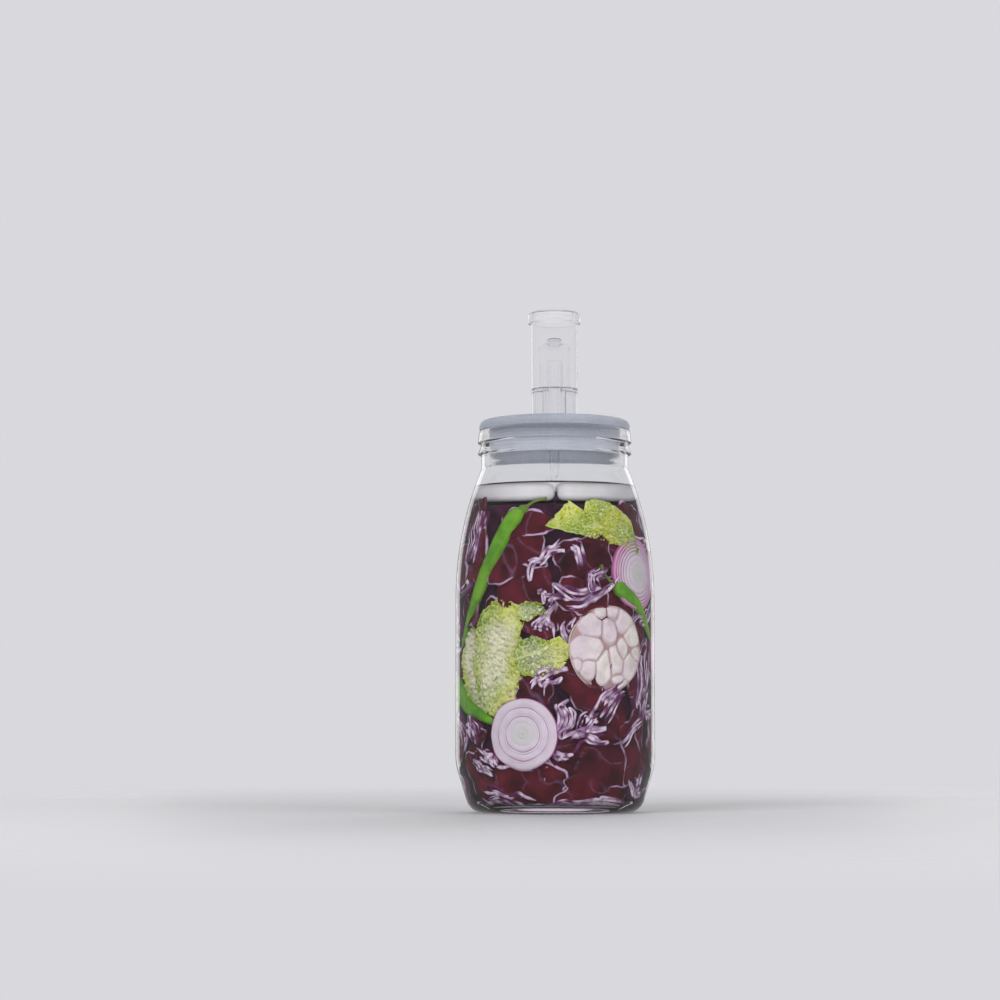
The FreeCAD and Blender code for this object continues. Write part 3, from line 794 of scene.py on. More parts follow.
def onionMaterial():
    material = wetMaterial("redOnion", 0.3)
    line, heart, pink = toneChannels(material)
    cloud = noiseNode(material, 130.0, 4.0)
    fine = noiseNode(material, 700.0, 2.0)
    flesh = rampNode(material, cloud, (0.3, tuple(c * 0.88 for c in onion["flesh"])), (0.65, onion["flesh"]))
    flesh = mixNode(material, heart, flesh, onion["heart"])
    blush = mixNode(material, pink, flesh, onion["pink"])
    colourFrom(material, mixNode(material, line, blush, onion["lines"]))
    bumpNode(material, fine, 0.25, 0.2)
    return material


# vegetables: halved garlic

garlic = {
    "spokes": 150, "rings": 56, "pillow": 2.2, "radius": 26.5, "looseCloves": 8, "innerCloves": 2,
    "back": ((1.01, 2.6), (1.0, 6.0), (0.8, 12.0)),  # size and depth of the rings behind the cut
    "cloves": (  # offset right and up, half sizes, turn
        (-12.5, 14.2, 8.4, 6.6, -20), (2.8, 23.5, 5.4, 5.8, 0), (12.6, 19.2, 6.4, 8.8, -18),
        (0.2, 11.4, 5.2, 8.2, 12), (19.4, 8.7, 6.6, 6.0, 20), (-15.2, 0.0, 10.0, 7.4, 0),
        (10.2, 0.2, 4.0, 6.0, 0), (5.2, -7.8, 5.4, 9.0, 6), (-3.4, -12.0, 5.6, 10.0, -12),
        (-14.2, -12.6, 5.2, 6.0, 0), (22.6, -3.0, 4.6, 3.8, 0), (17.4, -12.2, 6.2, 8.6, -8),
        (7.0, -18.6, 4.6, 3.2, 0), (11.6, -23.6, 5.6, 4.8, 20), (-5.0, 22.4, 4.4, 4.2, 20),
        (-21.5, -9.5, 3.2, 4.2, 0)),
    "flesh": (0.73, 0.70, 0.65), "lilac": (0.63, 0.55, 0.60), "gap": (0.40, 0.26, 0.255), "germShare": 0.55,
}


def looseCloves():
    # a ring of cloves about a few small ones
    cloves = []
    for k in range(garlic["innerCloves"]):
        right, up = rng.uniform(-5, 5), rng.uniform(-5, 5)
        cloves.append((right, up, rng.uniform(3.6, 5.6), rng.uniform(4.2, 6.0), rng.uniform(0, 90)))
    for k in range(garlic["looseCloves"]):
        theta = 6.283 * (k + rng.uniform(-0.32, 0.32)) / garlic["looseCloves"]
        out = garlic["radius"] * rng.uniform(0.52, 0.70)
        wide, tall = rng.uniform(7.6, 10.6), rng.uniform(5.0, 8.2)
        turn = math.degrees(theta) + rng.uniform(-18, 18)
        cloves.append((out * math.cos(theta), out * math.sin(theta), wide, tall, turn))
    return cloves


def addGarlic(heap, angle, z, radius, cloves=None, layer=1.0, bend=0.55):
    seed = rng.uniform(0, 90)
    place = wallMap(angle, z, layer, bend)
    cloves = cloves or looseCloves()
    scale = radius / garlic["radius"]

    def cut(s, theta):
        around = onCircle(theta, seed)
        rho = 1 + 0.05 * wave(around * 1.5) + 0.015 * wave(around * 6)
        u, v = s * garlic["radius"] * rho * math.cos(theta), s * garlic["radius"] * rho * math.sin(theta)
        near = []
        for right, up, wide, tall, turn in cloves:
            c, n = math.cos(math.radians(turn)), math.sin(math.radians(turn))
            du, dv = u - right, v - up
            near.append((math.hypot((du * c + dv * n) / wide, (dv * c - du * n) / tall), wide))
        near.sort()
        first, wide = near[0]
        border = min((near[1][0] - first) * 0.5 * wide, (1.2 - first) * wide)
        border = min(border, (1.0 - s) * garlic["radius"] * 1.2)
        w = garlic["pillow"] * (smoothStep(-0.1, 1.7, border) - 1) - 1.4 * smoothStep(0.94, 1.0, s)
        w += 0.18 * wave(Vector((u, v, seed)) * 0.3)
        germ = 0.7 * (1 - smoothStep(0.06, 0.26, first)) + 0.3 * smoothStep(0.4, 1.0, first)
        warm = 0.5 + 0.9 * wave(Vector((u, v, seed)) * 0.05)
        return place(u * scale, v * scale, w), (1 - smoothStep(-0.1, 0.7, border), germ, warm)

    def back(step, theta):
        grow, drop = step
        around = onCircle(theta, seed)
        rho = (1 + 0.05 * wave(around * 1.5)) * grow * radius
        return place(rho * math.cos(theta), rho * math.sin(theta), -drop), (0.1, 0.1, 0.9)

    rings = [(cut, 0.01 + 0.99 * k / garlic["rings"]) for k in range(garlic["rings"] + 1)]
    heapRings(heap, rings + [(back, step) for step in garlic["back"]], garlic["spokes"])


def addClove(heap, angle, z, wide, tall, turn, layer=3.0):
    place = wallMap(angle, z, layer + wide * 0.6, 0.5, turn)

    def skin(t, theta):
        size = math.sin(math.pi * t) ** 0.6 * (1.05 - 0.35 * t)
        u = wide * 0.5 * size * math.cos(theta) + 1.5 * math.sin(math.pi * t)
        point = place(u, (t - 0.5) * tall, wide * 0.6 * size * math.sin(theta))
        return point, (0.0, 0.1, 0.6 + 0.4 * math.sin(theta * 3))

    heapRings(heap, [(skin, 0.02 + 0.96 * k / 24) for k in range(25)], 28)


def garlicMaterial():
    material = wetMaterial("garlicFlesh", 0.35)
    gap, germ, warm = toneChannels(material)
    cloud = noiseNode(material, 150.0, 4.0)
    flesh = mixNode(material, warm, garlic["lilac"], garlic["flesh"])
    spots = rampNode(material, cloud, (0.3, (0.86, 0.84, 0.82)), (0.62, (1.08, 1.08, 1.08)))
    flesh = timesNode(material, flesh, spots)
    flesh = mixNode(material, shareNode(material, germ, garlic["germShare"]), flesh, garlic["lilac"])
    colourFrom(material, mixNode(material, gap, flesh, garlic["gap"]))
    bumpNode(material, cloud, 0.25, 0.25)
    return material


# vegetables: green chillies

chilli = {
    "steps": 56, "spokes": 24, "layer": 0.6, "butt": 0.07, "stemRadius": 1.3, "stemLength": 14.0,
    "stemSteps": 14,
    "crown": ((-2.6, 0.62), (-1.2, 0.60), (0.4, 0.40)),  # place along the stem and share of the thickness
    "skin": (0.115, 0.31, 0.018), "light": (0.21, 0.42, 0.035), "deep": (0.06, 0.20, 0.012),
    "stem": (0.12, 0.20, 0.035),
}


def addTube(heap, line, radii, stem, spokes):
    middle = radii[len(radii) // 2]

    def skin(k, theta):
        spot = line[k]
        ahead = (line[min(k + 1, len(line) - 1)] - line[max(k - 1, 0)]).normalized()
        side = ahead.cross(outwardOf(spot)).normalized()
        out = side.cross(ahead).normalized()
        dent = 1 + 0.05 * wave(Vector((theta, k * 0.12, middle * 9)))
        point = spot + (side * math.cos(theta) + out * math.sin(theta)) * radii[k] * dent
        return keepInside(point, packing["nearest"]), (stem, 0.0, 0.0)

    heapRings(heap, [(skin, k) for k in range(len(line))], spokes)


def addChilli(heap, spots, thick, stem=True):
    # spots run from the stem end to the tip as (angle, height) on the wall
    line, radii = [], []
    for k, (angle, z) in enumerate(smoothLine(spots, chilli["steps"])):
        reach = wallRadius(min(z, packing["edgeTop"])) - chilli["layer"] - thick * 0.72
        line.append(polar(reach, angle, z))
        t = k / chilli["steps"]
        grow = smoothStep(-0.02, chilli["butt"], t) * 0.45 + 0.55 * smoothStep(0.0, 0.2, t)
        radii.append(max(0.15, thick * grow * (1 - t ** 2.6) ** 0.8))
    addTube(heap, line, radii, 0.0, chilli["spokes"])
    if stem:
        addStem(heap, line[0], (line[0] - line[3]).normalized(), thick)


def addStem(heap, start, aim, thick):
    crown = [start + aim * place for place, share in chilli["crown"]] + [start + aim * 1.6]
    radii = [thick * share for place, share in chilli["crown"]] + [chilli["stemRadius"]]
    addTube(heap, crown, radii, 1.0, chilli["spokes"])
    side = aim.cross(outwardOf(start)).normalized()
    bends = ((0.8, 0.0), (5, 0.6), (9.5, 2.4), (chilli["stemLength"], 5.5))
    steps = chilli["stemSteps"]
    stalk = smoothLine([start + aim * along + side * off for along, off in bends], steps)
    waist = [1 - 0.35 * math.sin(math.pi * k / steps) for k in range(steps + 1)]
    waist[-1] += 0.2
    addTube(heap, stalk, [chilli["stemRadius"] * share for share in waist], 1.0, 12)


def chilliMaterial():
    material = newMaterial("greenChilli", Roughness=0.25, IOR=1.4, Specular_IOR_Level=0.3)
    stem = toneChannels(material)[0]
    cloud = noiseNode(material, 60.0, 4.0)
    skin = rampNode(material, cloud, (0.3, chilli["deep"]), (0.5, chilli["skin"]), (0.7, chilli["light"]))
    colourFrom(material, mixNode(material, stem, skin, chilli["stem"]))
    roughNode(material, cloud, 0.2, 0.36)
    bumpNode(material, cloud, 0.2, 0.4)
    return material


# vegetables: dark middle of the packing, coloured near black as painted shade between the pieces

heart = {
    "inset": 11.0, "lumps": 3.4, "lift": 0.9, "nearest": 3.0, "steps": 90, "spokes": 128,
    # painted shade: the near-black dark stop stands for the shade among the pieces; the lighter stops are
    # cabbage colours
    "dark": (0.012, 0.005, 0.012), "light": (0.055, 0.012, 0.036),
}


def shadedHeartMaterial():
    material = wetMaterial("packedCabbageShade", 0.5)
    cloud = noiseNode(material, 90.0, 6.0, 0.65)
    stops = ((0.35, heart["dark"]), (0.55, heart["light"]), (0.75, leaf["wine"]))
    colourFrom(material, rampNode(material, cloud, *stops))
    bumpNode(material, cloud, 0.6, 1.2)
    return material


def buildHeart():
    base, top = jar["floor"] + 0.6, packing["top"] - 1.2
    path = [(r, base) for r in (0.0, 20.0, 36.0)]
    for k in range(heart["steps"] + 1):
        z = lerp(base + 1.5, top - 1.5, k / heart["steps"])
        path.append((max(wallRadius(z) - heart["inset"], 10.0), z))
    path += [(r, top) for r in (44.0, 30.0, 16.0, 0.0)]

    def lumpy(point, angle):
        flat = Vector((point.x, point.y, 0))
        push = heart["lumps"] * (wave(point * 0.05) + 0.6 * wave(point * 0.13))
        lift = heart["lift"] * wave(point * 0.12) if point.z > top - 1 else 0.0
        moved = flat * ((flat.length + push) / flat.length) + Vector((0, 0, point.z - abs(lift)))
        return keepInside(moved, heart["nearest"])

    verts, faces = latheMesh(path, heart["spokes"], False, lumpy)
    addHeap("packedCabbageShade", {"verts": verts, "faces": faces, "tones": []}, shadedHeartMaterial())


# vegetables: what lies where, in mm as it shows from the front

frontLeaves = (  # x, z, width, height, turn, layer
    (-22, 203, 36, 17, -4, 4.0), (-57, 205, 18, 26, 8, 4.5), (-30, 180, 40, 30, 8, 5.0),
    (-24, 158, 40, 30, -10, 5.5), (-57, 180, 18, 40, 4, 5.5), (22, 178, 38, 26, 10, 5.5),
    (20, 150, 34, 24, -14, 4.6), (46, 150, 26, 30, 20, 6.0), (8, 140, 16, 22, -20, 5.0),
    (-12, 133, 22, 20, 20, 5.5), (18, 90, 24, 42, 34, 3.6), (-17, 87, 22, 24, 0, 5.0),
    (-58, 100, 22, 44, 0, 9.5), (34, 40, 66, 56, 22, 5.2), (-24, 22, 52, 28, -6, 3.8),
    (28, 14, 52, 22, 4, 3.4), (-55, 26, 24, 34, 14, 5.0), (61, 96, 18, 40, -6, 5.5),
    (58, 44, 26, 46, 12, 4.6), (-60, 48, 20, 28, -10, 5.5), (45, 186, 30, 22, 0, 6.5),
    (56, 203, 26, 24, -8, 6.0), (-63, 150, 16, 40, 6, 5.5), (58, 128, 22, 30, 10, 6.0),
    (-46, 128, 26, 40, 0, 9.5), (2, 20, 20, 24, 8, 5.6),
)
frontShreds = (  # x, z, length, strips, gap, turn, bow, waves, swing, layer
    (21, 159, 40, 6, 2.1, 8, -9, 0.5, 2.0, 1.6), (31, 163, 22, 5, 1.9, 62, 4, 1.0, 1.6, 1.4),
    (-6, 133, 24, 5, 2.3, 78, 3, 1.0, 2.2, 2.2), (-15, 128, 14, 4, 2.0, 30, 2, 1.2, 1.6, 2.2),
    (-3, 150, 16, 5, 2.0, 20, 2, 1.0, 1.8, 2.0), (-6, 91, 20, 7, 1.8, 40, 3, 1.1, 2.0, 1.6),
    (8, 64, 26, 6, 2.0, 82, 3, 1.0, 2.6, 1.6), (22, 50, 28, 7, 1.9, 14, 4, 0.8, 2.2, 1.4),
    (24, 62, 18, 5, 2.1, 50, 3, 1.0, 2.0, 1.6), (40, 76, 34, 6, 2.0, 44, 2, 0.4, 1.2, 1.8),
    (2, 42, 16, 4, 2.2, -20, -3, 1.0, 2.0, 1.6), (-57, 196, 44, 6, 2.1, 78, 3, 1.0, 2.2, 1.6),
    (-8, 178, 36, 4, 2.4, 50, 2, 0.5, 1.4, 2.2), (12, 184, 26, 3, 2.4, -54, 2, 0.6, 1.6, 2.2),
    (-52, 34, 30, 7, 1.9, -36, 2, 0.6, 1.6, 1.6), (-38, 12, 40, 6, 1.9, -20, -3, 0.7, 1.6, 1.4),
    (63, 92, 46, 8, 1.8, 78, 4, 1.2, 2.4, 1.6), (58, 20, 16, 4, 2.3, -50, 2, 1.0, 1.6, 1.4),
    (-62, 60, 26, 6, 2.0, -60, 2, 0.8, 1.6, 1.6), (38, 92, 22, 3, 1.7, 60, 2, 0.6, 1.0, 1.9),
    (10, 118, 30, 4, 2.0, 84, 2, 0.8, 1.8, 4.0), (18, 7, 60, 4, 1.6, 2, 1, 0.8, 0.8, 1.2),
    (-30, 36, 36, 3, 1.6, -4, -3, 0.5, 1.0, 1.8), (54, 62, 50, 4, 1.6, 38, -5, 0.4, 0.8, 1.6),
)
# outlines of savoy leaves about their middles
savoyTop = [
    (-40, -2.7), (-30.7, 7.3), (-22.7, 16), (-16.7, 12), (-12, 7.3), (-8.7, 15.3), (1.3, 16), (12, 14.7),
    (22.7, 8.7), (29.3, 2), (33.3, -7.3), (35.3, -21.3), (28, -19.3), (14.7, -15.3), (8, -14),
    (-4, -11.3), (-14.7, -8.7), (-25.3, -6.7)]
savoyLeft = [
    (-22.7, -2.7), (-20.7, 10.7), (-16, 25.3), (-10.7, 32), (-4, 36), (5.3, 37.3), (13.3, 34.7),
    (22.7, 30.7), (21.3, 21.3), (18.7, 12), (20.7, -2.7), (18.7, -18.7), (17.3, -30.7), (9.3, -34.7),
    (-2, -42.7), (-13.3, -34.7), (-20, -22.7)]
savoyBase = [
    (-22, 8), (-16, 26), (-8, 36), (2, 34), (12, 20), (20, 2), (22, -16), (16, -27), (4, -30), (-8, -24),
    (-18, -10)]
savoyLobe = [(-10.7, 2.7), (-2.7, 6.7), (4, 6), (8.7, 4.7), (12, -4), (5.3, -2.7), (-1.3, -7.3), (-9.3, -5.3)]
savoyTip = [
    (-18.7, 10.7), (-6.7, 14.7), (2.7, 11.3), (10.7, 14.7), (18, 7.3), (16.7, -4), (8, -10.7), (-2.7, -13.6),
    (-14.7, -12.7), (-20, -2.7)]
savoyLoose = [
    (-32, 0), (-24, 14.4), (-4, 21.6), (9.6, 18.4), (22.4, 16), (32, 3.2), (17.6, -16), (1.6, -20.8),
    (-12.8, -16.8), (-27.2, -11.2)]
frontSavoys = (  # x, z, outline, layer, ripeness, start of the rib
    (31.4, 203.2, savoyTop, 1.4, 0.0, (0, 90)), (-44.5, 111.5, savoyLeft, 4.0, 1.0, (-26, -16)),
    (-59, 98, savoyBase, 6.2, 1.6, (4, -20)), (-19.5, 141.5, savoyLobe, 2.6, 0.5, (0, 90)),
    (-10, 108.7, savoyTip, 1.5, 0.4, (-14, 0)),
)
frontOnions = (  # x, z, radius, layer, kind, bend
    (-24.8, 54.5, 24.2, 1.0, "plain", 0.35), (59, 167, 24.5, 1.3, "red", 1.0),
)
frontGarlic = (38.2, 114.5, 29.5)
frontClove = (-66, 157, 11, 26, 4)  # x, z, width, height, turn
frontChillies = (  # thickness, stem shown, places from stem to tip
    (6.4, True, ((-23, 214), (-34, 203), (-50, 173), (-61, 145), (-68.5, 112))),
    (5.6, True, ((42, 161), (51, 154), (61, 143), (69, 117))),
    (5.6, False, ((-72, 96), (-66, 77), (-56, 68), (-40, 60))),
)
# the other sides: degrees round from the front, height, then turn and ripeness, or radius and kind
roundSavoys = ((112, 188, -15, 0.1), (188, 149.7, 10, 0.8), (234, 192, 20, 0.3), (255, 83.5, -20, 0.6))
roundGarlic = ((118, 66, 25.1), (160, 108.3, 23.9), (212, 87.7, 25.1))
roundOnions = (
    (98, 112.5, 23, "red"), (150, 172.4, 22, "plain"), (146, 29.7, 17, "plain"), (184, 46.3, 23, "red"),
    (240, 133.1, 22, "red"), (232, 38, 22, "plain"),
)
roundChillies = (
    ((126, 141.4), (131, 128), (140, 100), (146, 69)),
    ((178, 208.6), (176, 197.3), (166, 178.6), (160, 149.7)),
    ((266, 172.4), (267, 160), (264, 137.3), (268, 112.5)),
    ((92, 44.2), (100, 33.9), (112, 26), (126, 22.1)),
)
roundLeaves = {
    "rows": 7, "columns": 12, "from": 75, "to": 285, "foot": 7.0, "pitch": 29.54, "turn": 20,
    "layer": 4.0, "nextLayer": 1.8, "room": 5, "sink": 3.0, "sunkCurl": 0.4,
}
roundShreds = {
    "rows": 7, "columns": 9, "from": 1.25, "sweep": 3.8, "foot": 22.0, "pitch": 28.5,
    "room": 2, "openShare": 0.4,
}
savoyReach, wallReach = 27, 62  # half a loose savoy leaf, and the radius that gaps are measured at
largePieces = [(*spot[:2], savoyReach) for spot in roundSavoys]
largePieces += [spot[:3] for spot in roundGarlic + roundOnions]


def roomBeside(angle, z):
    # distance on the wall to the edge of the nearest large piece
    gaps = []
    for degrees, height, size in largePieces:
        gaps.append(math.hypot((angle - math.radians(degrees)) * wallReach, z - height) - size)
    return min(gaps)


def placeFront(heaps):
    for x, z, wide, tall, turn, layer in frontLeaves:
        addLeaf(heaps["leaf"], *seen(x, z), wide, tall, turn, layer)
    for x, z, length, count, gap, turn, bow, waves, swing, layer in frontShreds:
        addShreds(heaps["shred"], *seen(x, z), length, count, gap, turn, layer, bow, waves, swing)
    for x, z, outline, layer, ripeness, rib in frontSavoys:
        addSavoy(heaps["savoy"], *seen(x, z), outline, 0, layer, ripeness, rib)
    for x, z, radius, layer, kind, bend in frontOnions:
        addOnion(heaps["onion"], *seen(x, z), radius, 0, layer, kind, bend)
    x, z, radius = frontGarlic
    addGarlic(heaps["garlic"], *seen(x, z), radius, garlic["cloves"])
    x, z, wide, tall, turn = frontClove
    addClove(heaps["garlic"], *seen(x, z), wide, tall, turn)
    for thick, stem, spots in frontChillies:
        addChilli(heaps["chilli"], [seen(x, z) for x, z in spots], thick, stem)


def placeRoundLeaves(heap):
    spread = roundLeaves
    for row in range(spread["rows"]):
        for k in range(spread["columns"]):
            degrees = 360 * (k + (1 - row % 2) / 2) / spread["columns"]
            if not spread["from"] < degrees < spread["to"]:
                continue
            angle = math.radians(degrees + rng.uniform(-3, 3))
            z = spread["foot"] + spread["pitch"] * (row + 0.5)
            wide, tall = rng.uniform(36, 45), rng.uniform(30, 37)
            turn = spread["turn"] * ((2 * row + 3 * k) % 5 - 2) + rng.uniform(-10, 10)
            layer, curl = spread["layer"] + spread["nextLayer"] * ((row + k) % 2), rng.uniform(1, 4)
            if roomBeside(angle, z) < spread["room"]:  # stays behind the large piece
                layer, curl = layer + spread["sink"], spread["sunkCurl"]
            addLeaf(heap, angle, z, wide, tall, turn, layer, curl)


def placeRoundShreds(heap):
    spread = roundShreds
    for row in range(spread["rows"]):
        for k in range(spread["columns"]):
            step = (k + 0.5 * (row % 2) + rng.uniform(-0.3, 0.3)) / spread["columns"]
            angle = spread["from"] + spread["sweep"] * step
            z = spread["foot"] + spread["pitch"] * row + rng.uniform(-9, 9)
            length, count, turn = rng.uniform(20, 38), rng.randint(4, 7), rng.uniform(-90, 90)
            room = roomBeside(angle, z)
            if room <= spread["room"]:
                continue
            layer = rng.uniform(1.5, 2.6) if room > spread["openShare"] * length else rng.uniform(3.6, 4.4)
            gap, bow = rng.uniform(1.8, 2.3), rng.uniform(-5, 5)
            waves, swing = rng.uniform(0.4, 1.2), rng.uniform(1, 2.6)
            addShreds(heap, angle, z, length, count, gap, turn, layer, bow, waves, swing)


def placeRound(heaps):
    # the sides and the back are packed in the same way
    for degrees, z, turn, ripeness in roundSavoys:
        addSavoy(heaps["savoy"], math.radians(degrees), z, savoyLoose, turn, 1.5, ripeness, (-14, 0))
    for degrees, z, radius in roundGarlic:
        addGarlic(heaps["garlic"], math.radians(degrees), z, radius)
    for degrees, z, radius, kind in roundOnions:
        addOnion(heaps["onion"], math.radians(degrees), z, radius, rng.uniform(0, 360), 1.1, kind, 0.5)
    for spots in roundChillies:
        places = [(math.radians(degrees), z) for degrees, z in spots]
        addChilli(heaps["chilli"], places, rng.uniform(5.0, 5.6))
    placeRoundLeaves(heaps["leaf"])
    placeRoundShreds(heaps["shred"])


def buildVegetables():
    kinds = (
        ("cabbageLeaves", "leaf", leafMaterial), ("cabbageShreds", "shred", shredMaterial),
        ("savoyLeaves", "savoy", savoyMaterial), ("onionSlices", "onion", onionMaterial),
        ("garlicHalves", "garlic", garlicMaterial), ("greenChillies", "chilli", chilliMaterial),
    )
    heaps = {kind: newHeap() for name, kind, maker in kinds}
    placeFront(heaps)
    placeRound(heaps)
    buildHeart()
    for name, kind, maker in kinds:
        addHeap(name, heaps[kind], maker())


# lid

lid = {
    "colour": (0.345, 0.365, 0.425), "dark": (0.305, 0.325, 0.385), "rough": (0.50, 0.64), "glow": 9.0,
    # painted light: the lower part of the lid, the plug seen through the neck, is coloured lighter towards
    # its bottom
    "paintedLight": (1.4, 1.38, 1.33), "paintedLightFrom": 0.55, "paintedLightTo": 0.15,
}


def siliconeMaterial():
    material = newMaterial(
        "lidSilicone", IOR=1.42, Specular_IOR_Level=0.4, Subsurface_Weight=1.0,
        Subsurface_Radius=(1.0, 1.0, 1.0), Subsurface_Scale=lid["glow"] * mm)
    cloud = noiseNode(material, 35.0, 5.0)
    dust = noiseNode(material, 900.0, 2.0)
    base = rampNode(material, cloud, (0.3, lid["dark"]), (0.7, lid["colour"]))
    speck = rampNode(material, dust, (0.45, (0.94, 0.94, 0.94)), (0.6, (1.04, 1.04, 1.04)))
    where = addNode(material, "TexCoord")
    height = addNode(material, "SeparateXYZ")
    join(material, where.outputs["Generated"], height.inputs[0])
    white = (1.0, 1.0, 1.0)
    # painted light: the colour is raised towards the bottom of the lid
    paintedLight = rampNode(material, height.outputs["Z"], (lid["paintedLightTo"], lid["paintedLight"]), (lid["paintedLightFrom"], white))
    colourFrom(material, timesNode(material, timesNode(material, base, speck), paintedLight))
    roughNode(material, cloud, *lid["rough"])
    bumpNode(material, dust, 0.25, 0.05)
    return material


# weights

weight = {
    "glaze": (0.68, 0.68, 0.695), "shade": (0.59, 0.59, 0.60), "speck": (0.45, 0.42, 0.38),
    "rough": (0.12, 0.24),
}


def glazeMaterial():
    material = newMaterial("weightGlaze", IOR=1.5, Specular_IOR_Level=0.4)
    cloud = noiseNode(material, 40.0, 4.0)
    fine = noiseNode(material, 520.0, 2.0)
    base = rampNode(material, cloud, (0.35, weight["shade"]), (0.6, weight["glaze"]))
    spots = rampNode(material, fine, (0.70, (0, 0, 0)), (0.76, (0.5, 0.5, 0.5)))
    colourFrom(material, mixNode(material, spots, base, weight["speck"]))
    roughNode(material, cloud, *weight["rough"])
    bumpNode(material, cloud, 0.25, 0.6)
    return material


# airlock

airlock = {
    "tint": (0.50, 0.48, 0.58), "density": 16.0, "rough": 0.03, "ior": 1.49,
    "capDensity": 20.0, "capRough": 0.12, "capClear": 0.92,
    "waterLevel": 297.6, "floor": 277.3, "pipe": 5.75, "tube": 15.12, "meniscus": 0.9, "meniscusWidth": 1.8,
    "waterTint": (0.75, 0.78, 0.85), "waterDensity": 4.0, "spokes": 128,
}


def clearMaterial(name, density, rough, through):
    material = newMaterial(name, Base_Color=(1, 1, 1, 1), IOR=airlock["ior"], Transmission_Weight=through)
    flow = noiseNode(material, 90.0, 2.0)
    roughNode(material, flow, rough * 0.6, rough * 1.4)
    bumpNode(material, flow, 0.12, 0.15)
    absorb(material, airlock["tint"], density)
    return material


def waterMaterial():
    material = liquidMaterial("airlockWater", (1, 1, 1), brine["ior"], (120.0, 1.0), 0.1, 0.1)
    absorb(material, airlock["waterTint"], airlock["waterDensity"])
    return material


def buildWater():
    low, top, climb = airlock["floor"] - 0.08, airlock["waterLevel"], airlock["meniscus"]
    pipe, tube = airlock["pipe"], airlock["tube"]
    path = [(pipe, low)] + [(tube, lerp(low, top + climb, k / 8)) for k in range(9)]
    for k in range(1, 25):  # liquid climbs the tube and the pipe a little
        r = lerp(tube, pipe, k / 24)
        near = min(tube - r, r - pipe)
        path.append((r, top + climb * max(0.0, 1 - near / airlock["meniscusWidth"]) ** 3))
    path += [(pipe, lerp(top, low, k / 8)) for k in range(1, 8)]
    water = waterMaterial()
    addClear("airlockWater", path, airlock["spokes"], water, "airlock", "airlock_water", True)


# pieces that keep the shape of their solids

def dressNode(node, material):
    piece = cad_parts[node]
    piece.data.materials.clear()
    piece.data.materials.append(material)
    return piece


def dressNodes():
    dressNode("silicone_lid", siliconeMaterial())
    clear = clearMaterial("airlockClear", airlock["density"], airlock["rough"], 1.0)
    cap = clearMaterial("capClear", airlock["capDensity"], airlock["capRough"], airlock["capClear"])
    for node, material in (("airlock_body", clear), ("airlock_float", clear), ("airlock_cap", cap)):
        letLightThrough(dressNode(node, material))
    glaze = glazeMaterial()
    for node in ("weight_left", "weight_right"):
        dressNode(node, glaze)
    print("lid, airlock and weights dressed")


# stage, in metres

stage = {
    "cameraPlace": (-0.0387, -1.9, 0.062), "cameraAim": (-0.0387, 0.0, 0.2197), "lens": 97.0, "sensor": 36.0,
    "pale": (0.69, 0.69, 0.725), "ambient": 0.40, "gloss": 0.32,
    "floorSize": 1.6, "floorColour": (0.64, 0.64, 0.67), "fadeFrom": 0.16, "fadeTo": 0.95,
    "lamps": (  # name, place, height aimed at, size, power, mirrored in gloss
        ("keyLamp", (-0.9, -1.3, 1.2), 0.16, (0.9, 0.9), 17.0, False),
        ("fillLamp", (1.3, -0.9, 0.7), 0.16, (1.1, 1.1), 9.0, False),
        ("backLamp", (0.3, 1.2, 1.1), 0.2, (0.9, 0.9), 7.0, False),
        ("lowLamp", (0.1, -1.3, 0.08), 0.26, (1.0, 0.12), 6.5, False),
        ("leftStrip", (-0.66, 1.3, 0.4), 0.2, (0.5, 1.1), 2.2, True),
        ("rightStrip", (0.66, 1.3, 0.4), 0.2, (0.5, 1.1), 2.2, True)),
}


def addAimed(name, data, place, aim):
    holder = bpy.data.objects.new(name, data)
    holder.location = place
    holder.rotation_euler = (Vector(aim) - holder.location).to_track_quat("-Z", "Y").to_euler()
    scene.collection.objects.link(holder)
    return holder


def buildCamera():
    lens = bpy.data.cameras.new("camera")
    lens.lens = stage["lens"]
    lens.sensor_width = stage["sensor"]
    scene.camera = addAimed("camera", lens, stage["cameraPlace"], stage["cameraAim"])


def buildLamps():
    for name, place, height, size, power, shine in stage["lamps"]:
        lamp = bpy.data.lights.new(name, "AREA")
        lamp.shape = "RECTANGLE"
        lamp.size, lamp.size_y = size
        lamp.energy = power
        holder = addAimed(name, lamp, place, (0, 0, height))
        holder.visible_transmission = False
        holder.visible_camera = False
        holder.visible_glossy = shine


def backdrop(world, colour, strength):
    node = addNode(world, "Background", {"Color": (*colour, 1), "Strength": strength})
    return node.outputs["Background"]


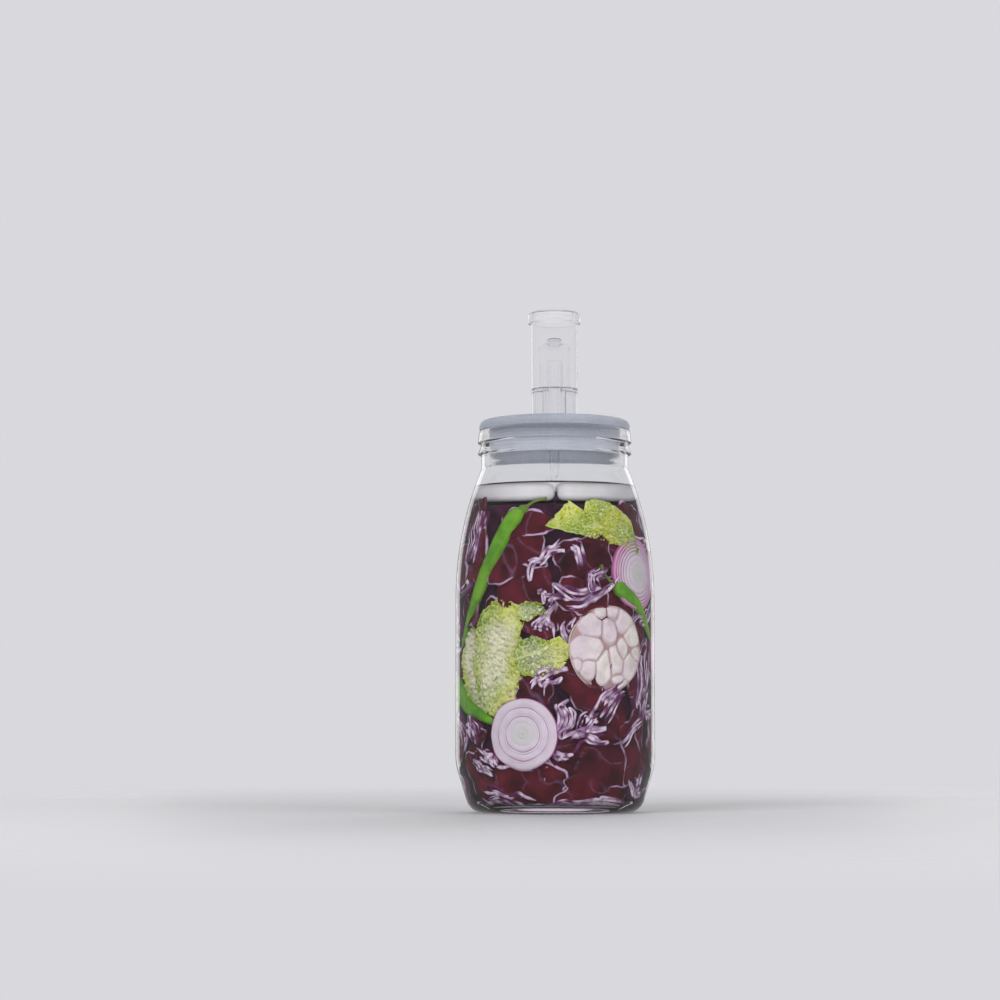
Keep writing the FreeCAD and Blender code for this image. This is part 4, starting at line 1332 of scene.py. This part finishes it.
def buildWorld():
    # the camera sees the pale backdrop, also through glass; gloss and soft light have their own levels
    world = bpy.data.worlds.new("studio")
    scene.world = world
    world.use_nodes = True
    world.node_tree.nodes.clear()
    rays = addNode(world, "LightPath").outputs
    shown = addNode(world, "Math", operation="ADD", use_clamp=True)
    join(world, rays["Is Camera Ray"], shown.inputs[0])
    join(world, rays["Is Transmission Ray"], shown.inputs[1])
    white = (1, 1, 1)
    soft, gloss = backdrop(world, white, stage["ambient"]), backdrop(world, white, stage["gloss"])
    light = mixShaders(world, rays["Is Glossy Ray"], soft, gloss)
    surface = mixShaders(world, shown.outputs[0], light, backdrop(world, stage["pale"], 1.0))
    join(world, surface, addNode(world, "OutputWorld").inputs["Surface"])


def floorMaterial():
    material = newMaterial("paleFloor", Roughness=0.55, Specular_IOR_Level=0.25)
    cloud = noiseNode(material, 6.0, 3.0)
    lighter = tuple(c * 1.02 for c in stage["floorColour"])
    colourFrom(material, rampNode(material, cloud, (0.3, stage["floorColour"]), (0.7, lighter)))
    # the floor fades into the pale backdrop away from the jar
    where = addNode(material, "TexCoord")
    away = addNode(material, "VectorMath", operation="LENGTH")
    join(material, where.outputs["Object"], away.inputs[0])
    fade = addNode(material, "MapRange", {"From Min": stage["fadeFrom"], "From Max": stage["fadeTo"]},
                   interpolation_type="SMOOTHSTEP")
    join(material, away.outputs["Value"], fade.inputs["Value"])
    solid = shaderOf(material).outputs["BSDF"]
    clear = addNode(material, "BsdfTransparent").outputs["BSDF"]
    surface = mixShaders(material, fade.outputs["Result"], solid, clear)
    join(material, surface, material.node_tree.nodes["Material Output"].inputs["Surface"])
    return material


def buildFloor():
    half = stage["floorSize"]
    mesh = bpy.data.meshes.new("floor")
    corners = [(-half, -half, 0), (half, -half, 0), (half, half, 0), (-half, half, 0)]
    mesh.from_pydata(corners, [], [(0, 1, 2, 3)])
    mesh.materials.append(floorMaterial())
    floor = bpy.data.objects.new("floor", mesh)
    scene.collection.objects.link(floor)
    floor.visible_glossy = False


def buildStage():
    buildCamera()
    buildWorld()
    buildFloor()
    buildLamps()
    print("stage ready")


buildJar()
buildBrine()
buildVegetables()
buildWater()
dressNodes()
buildStage()
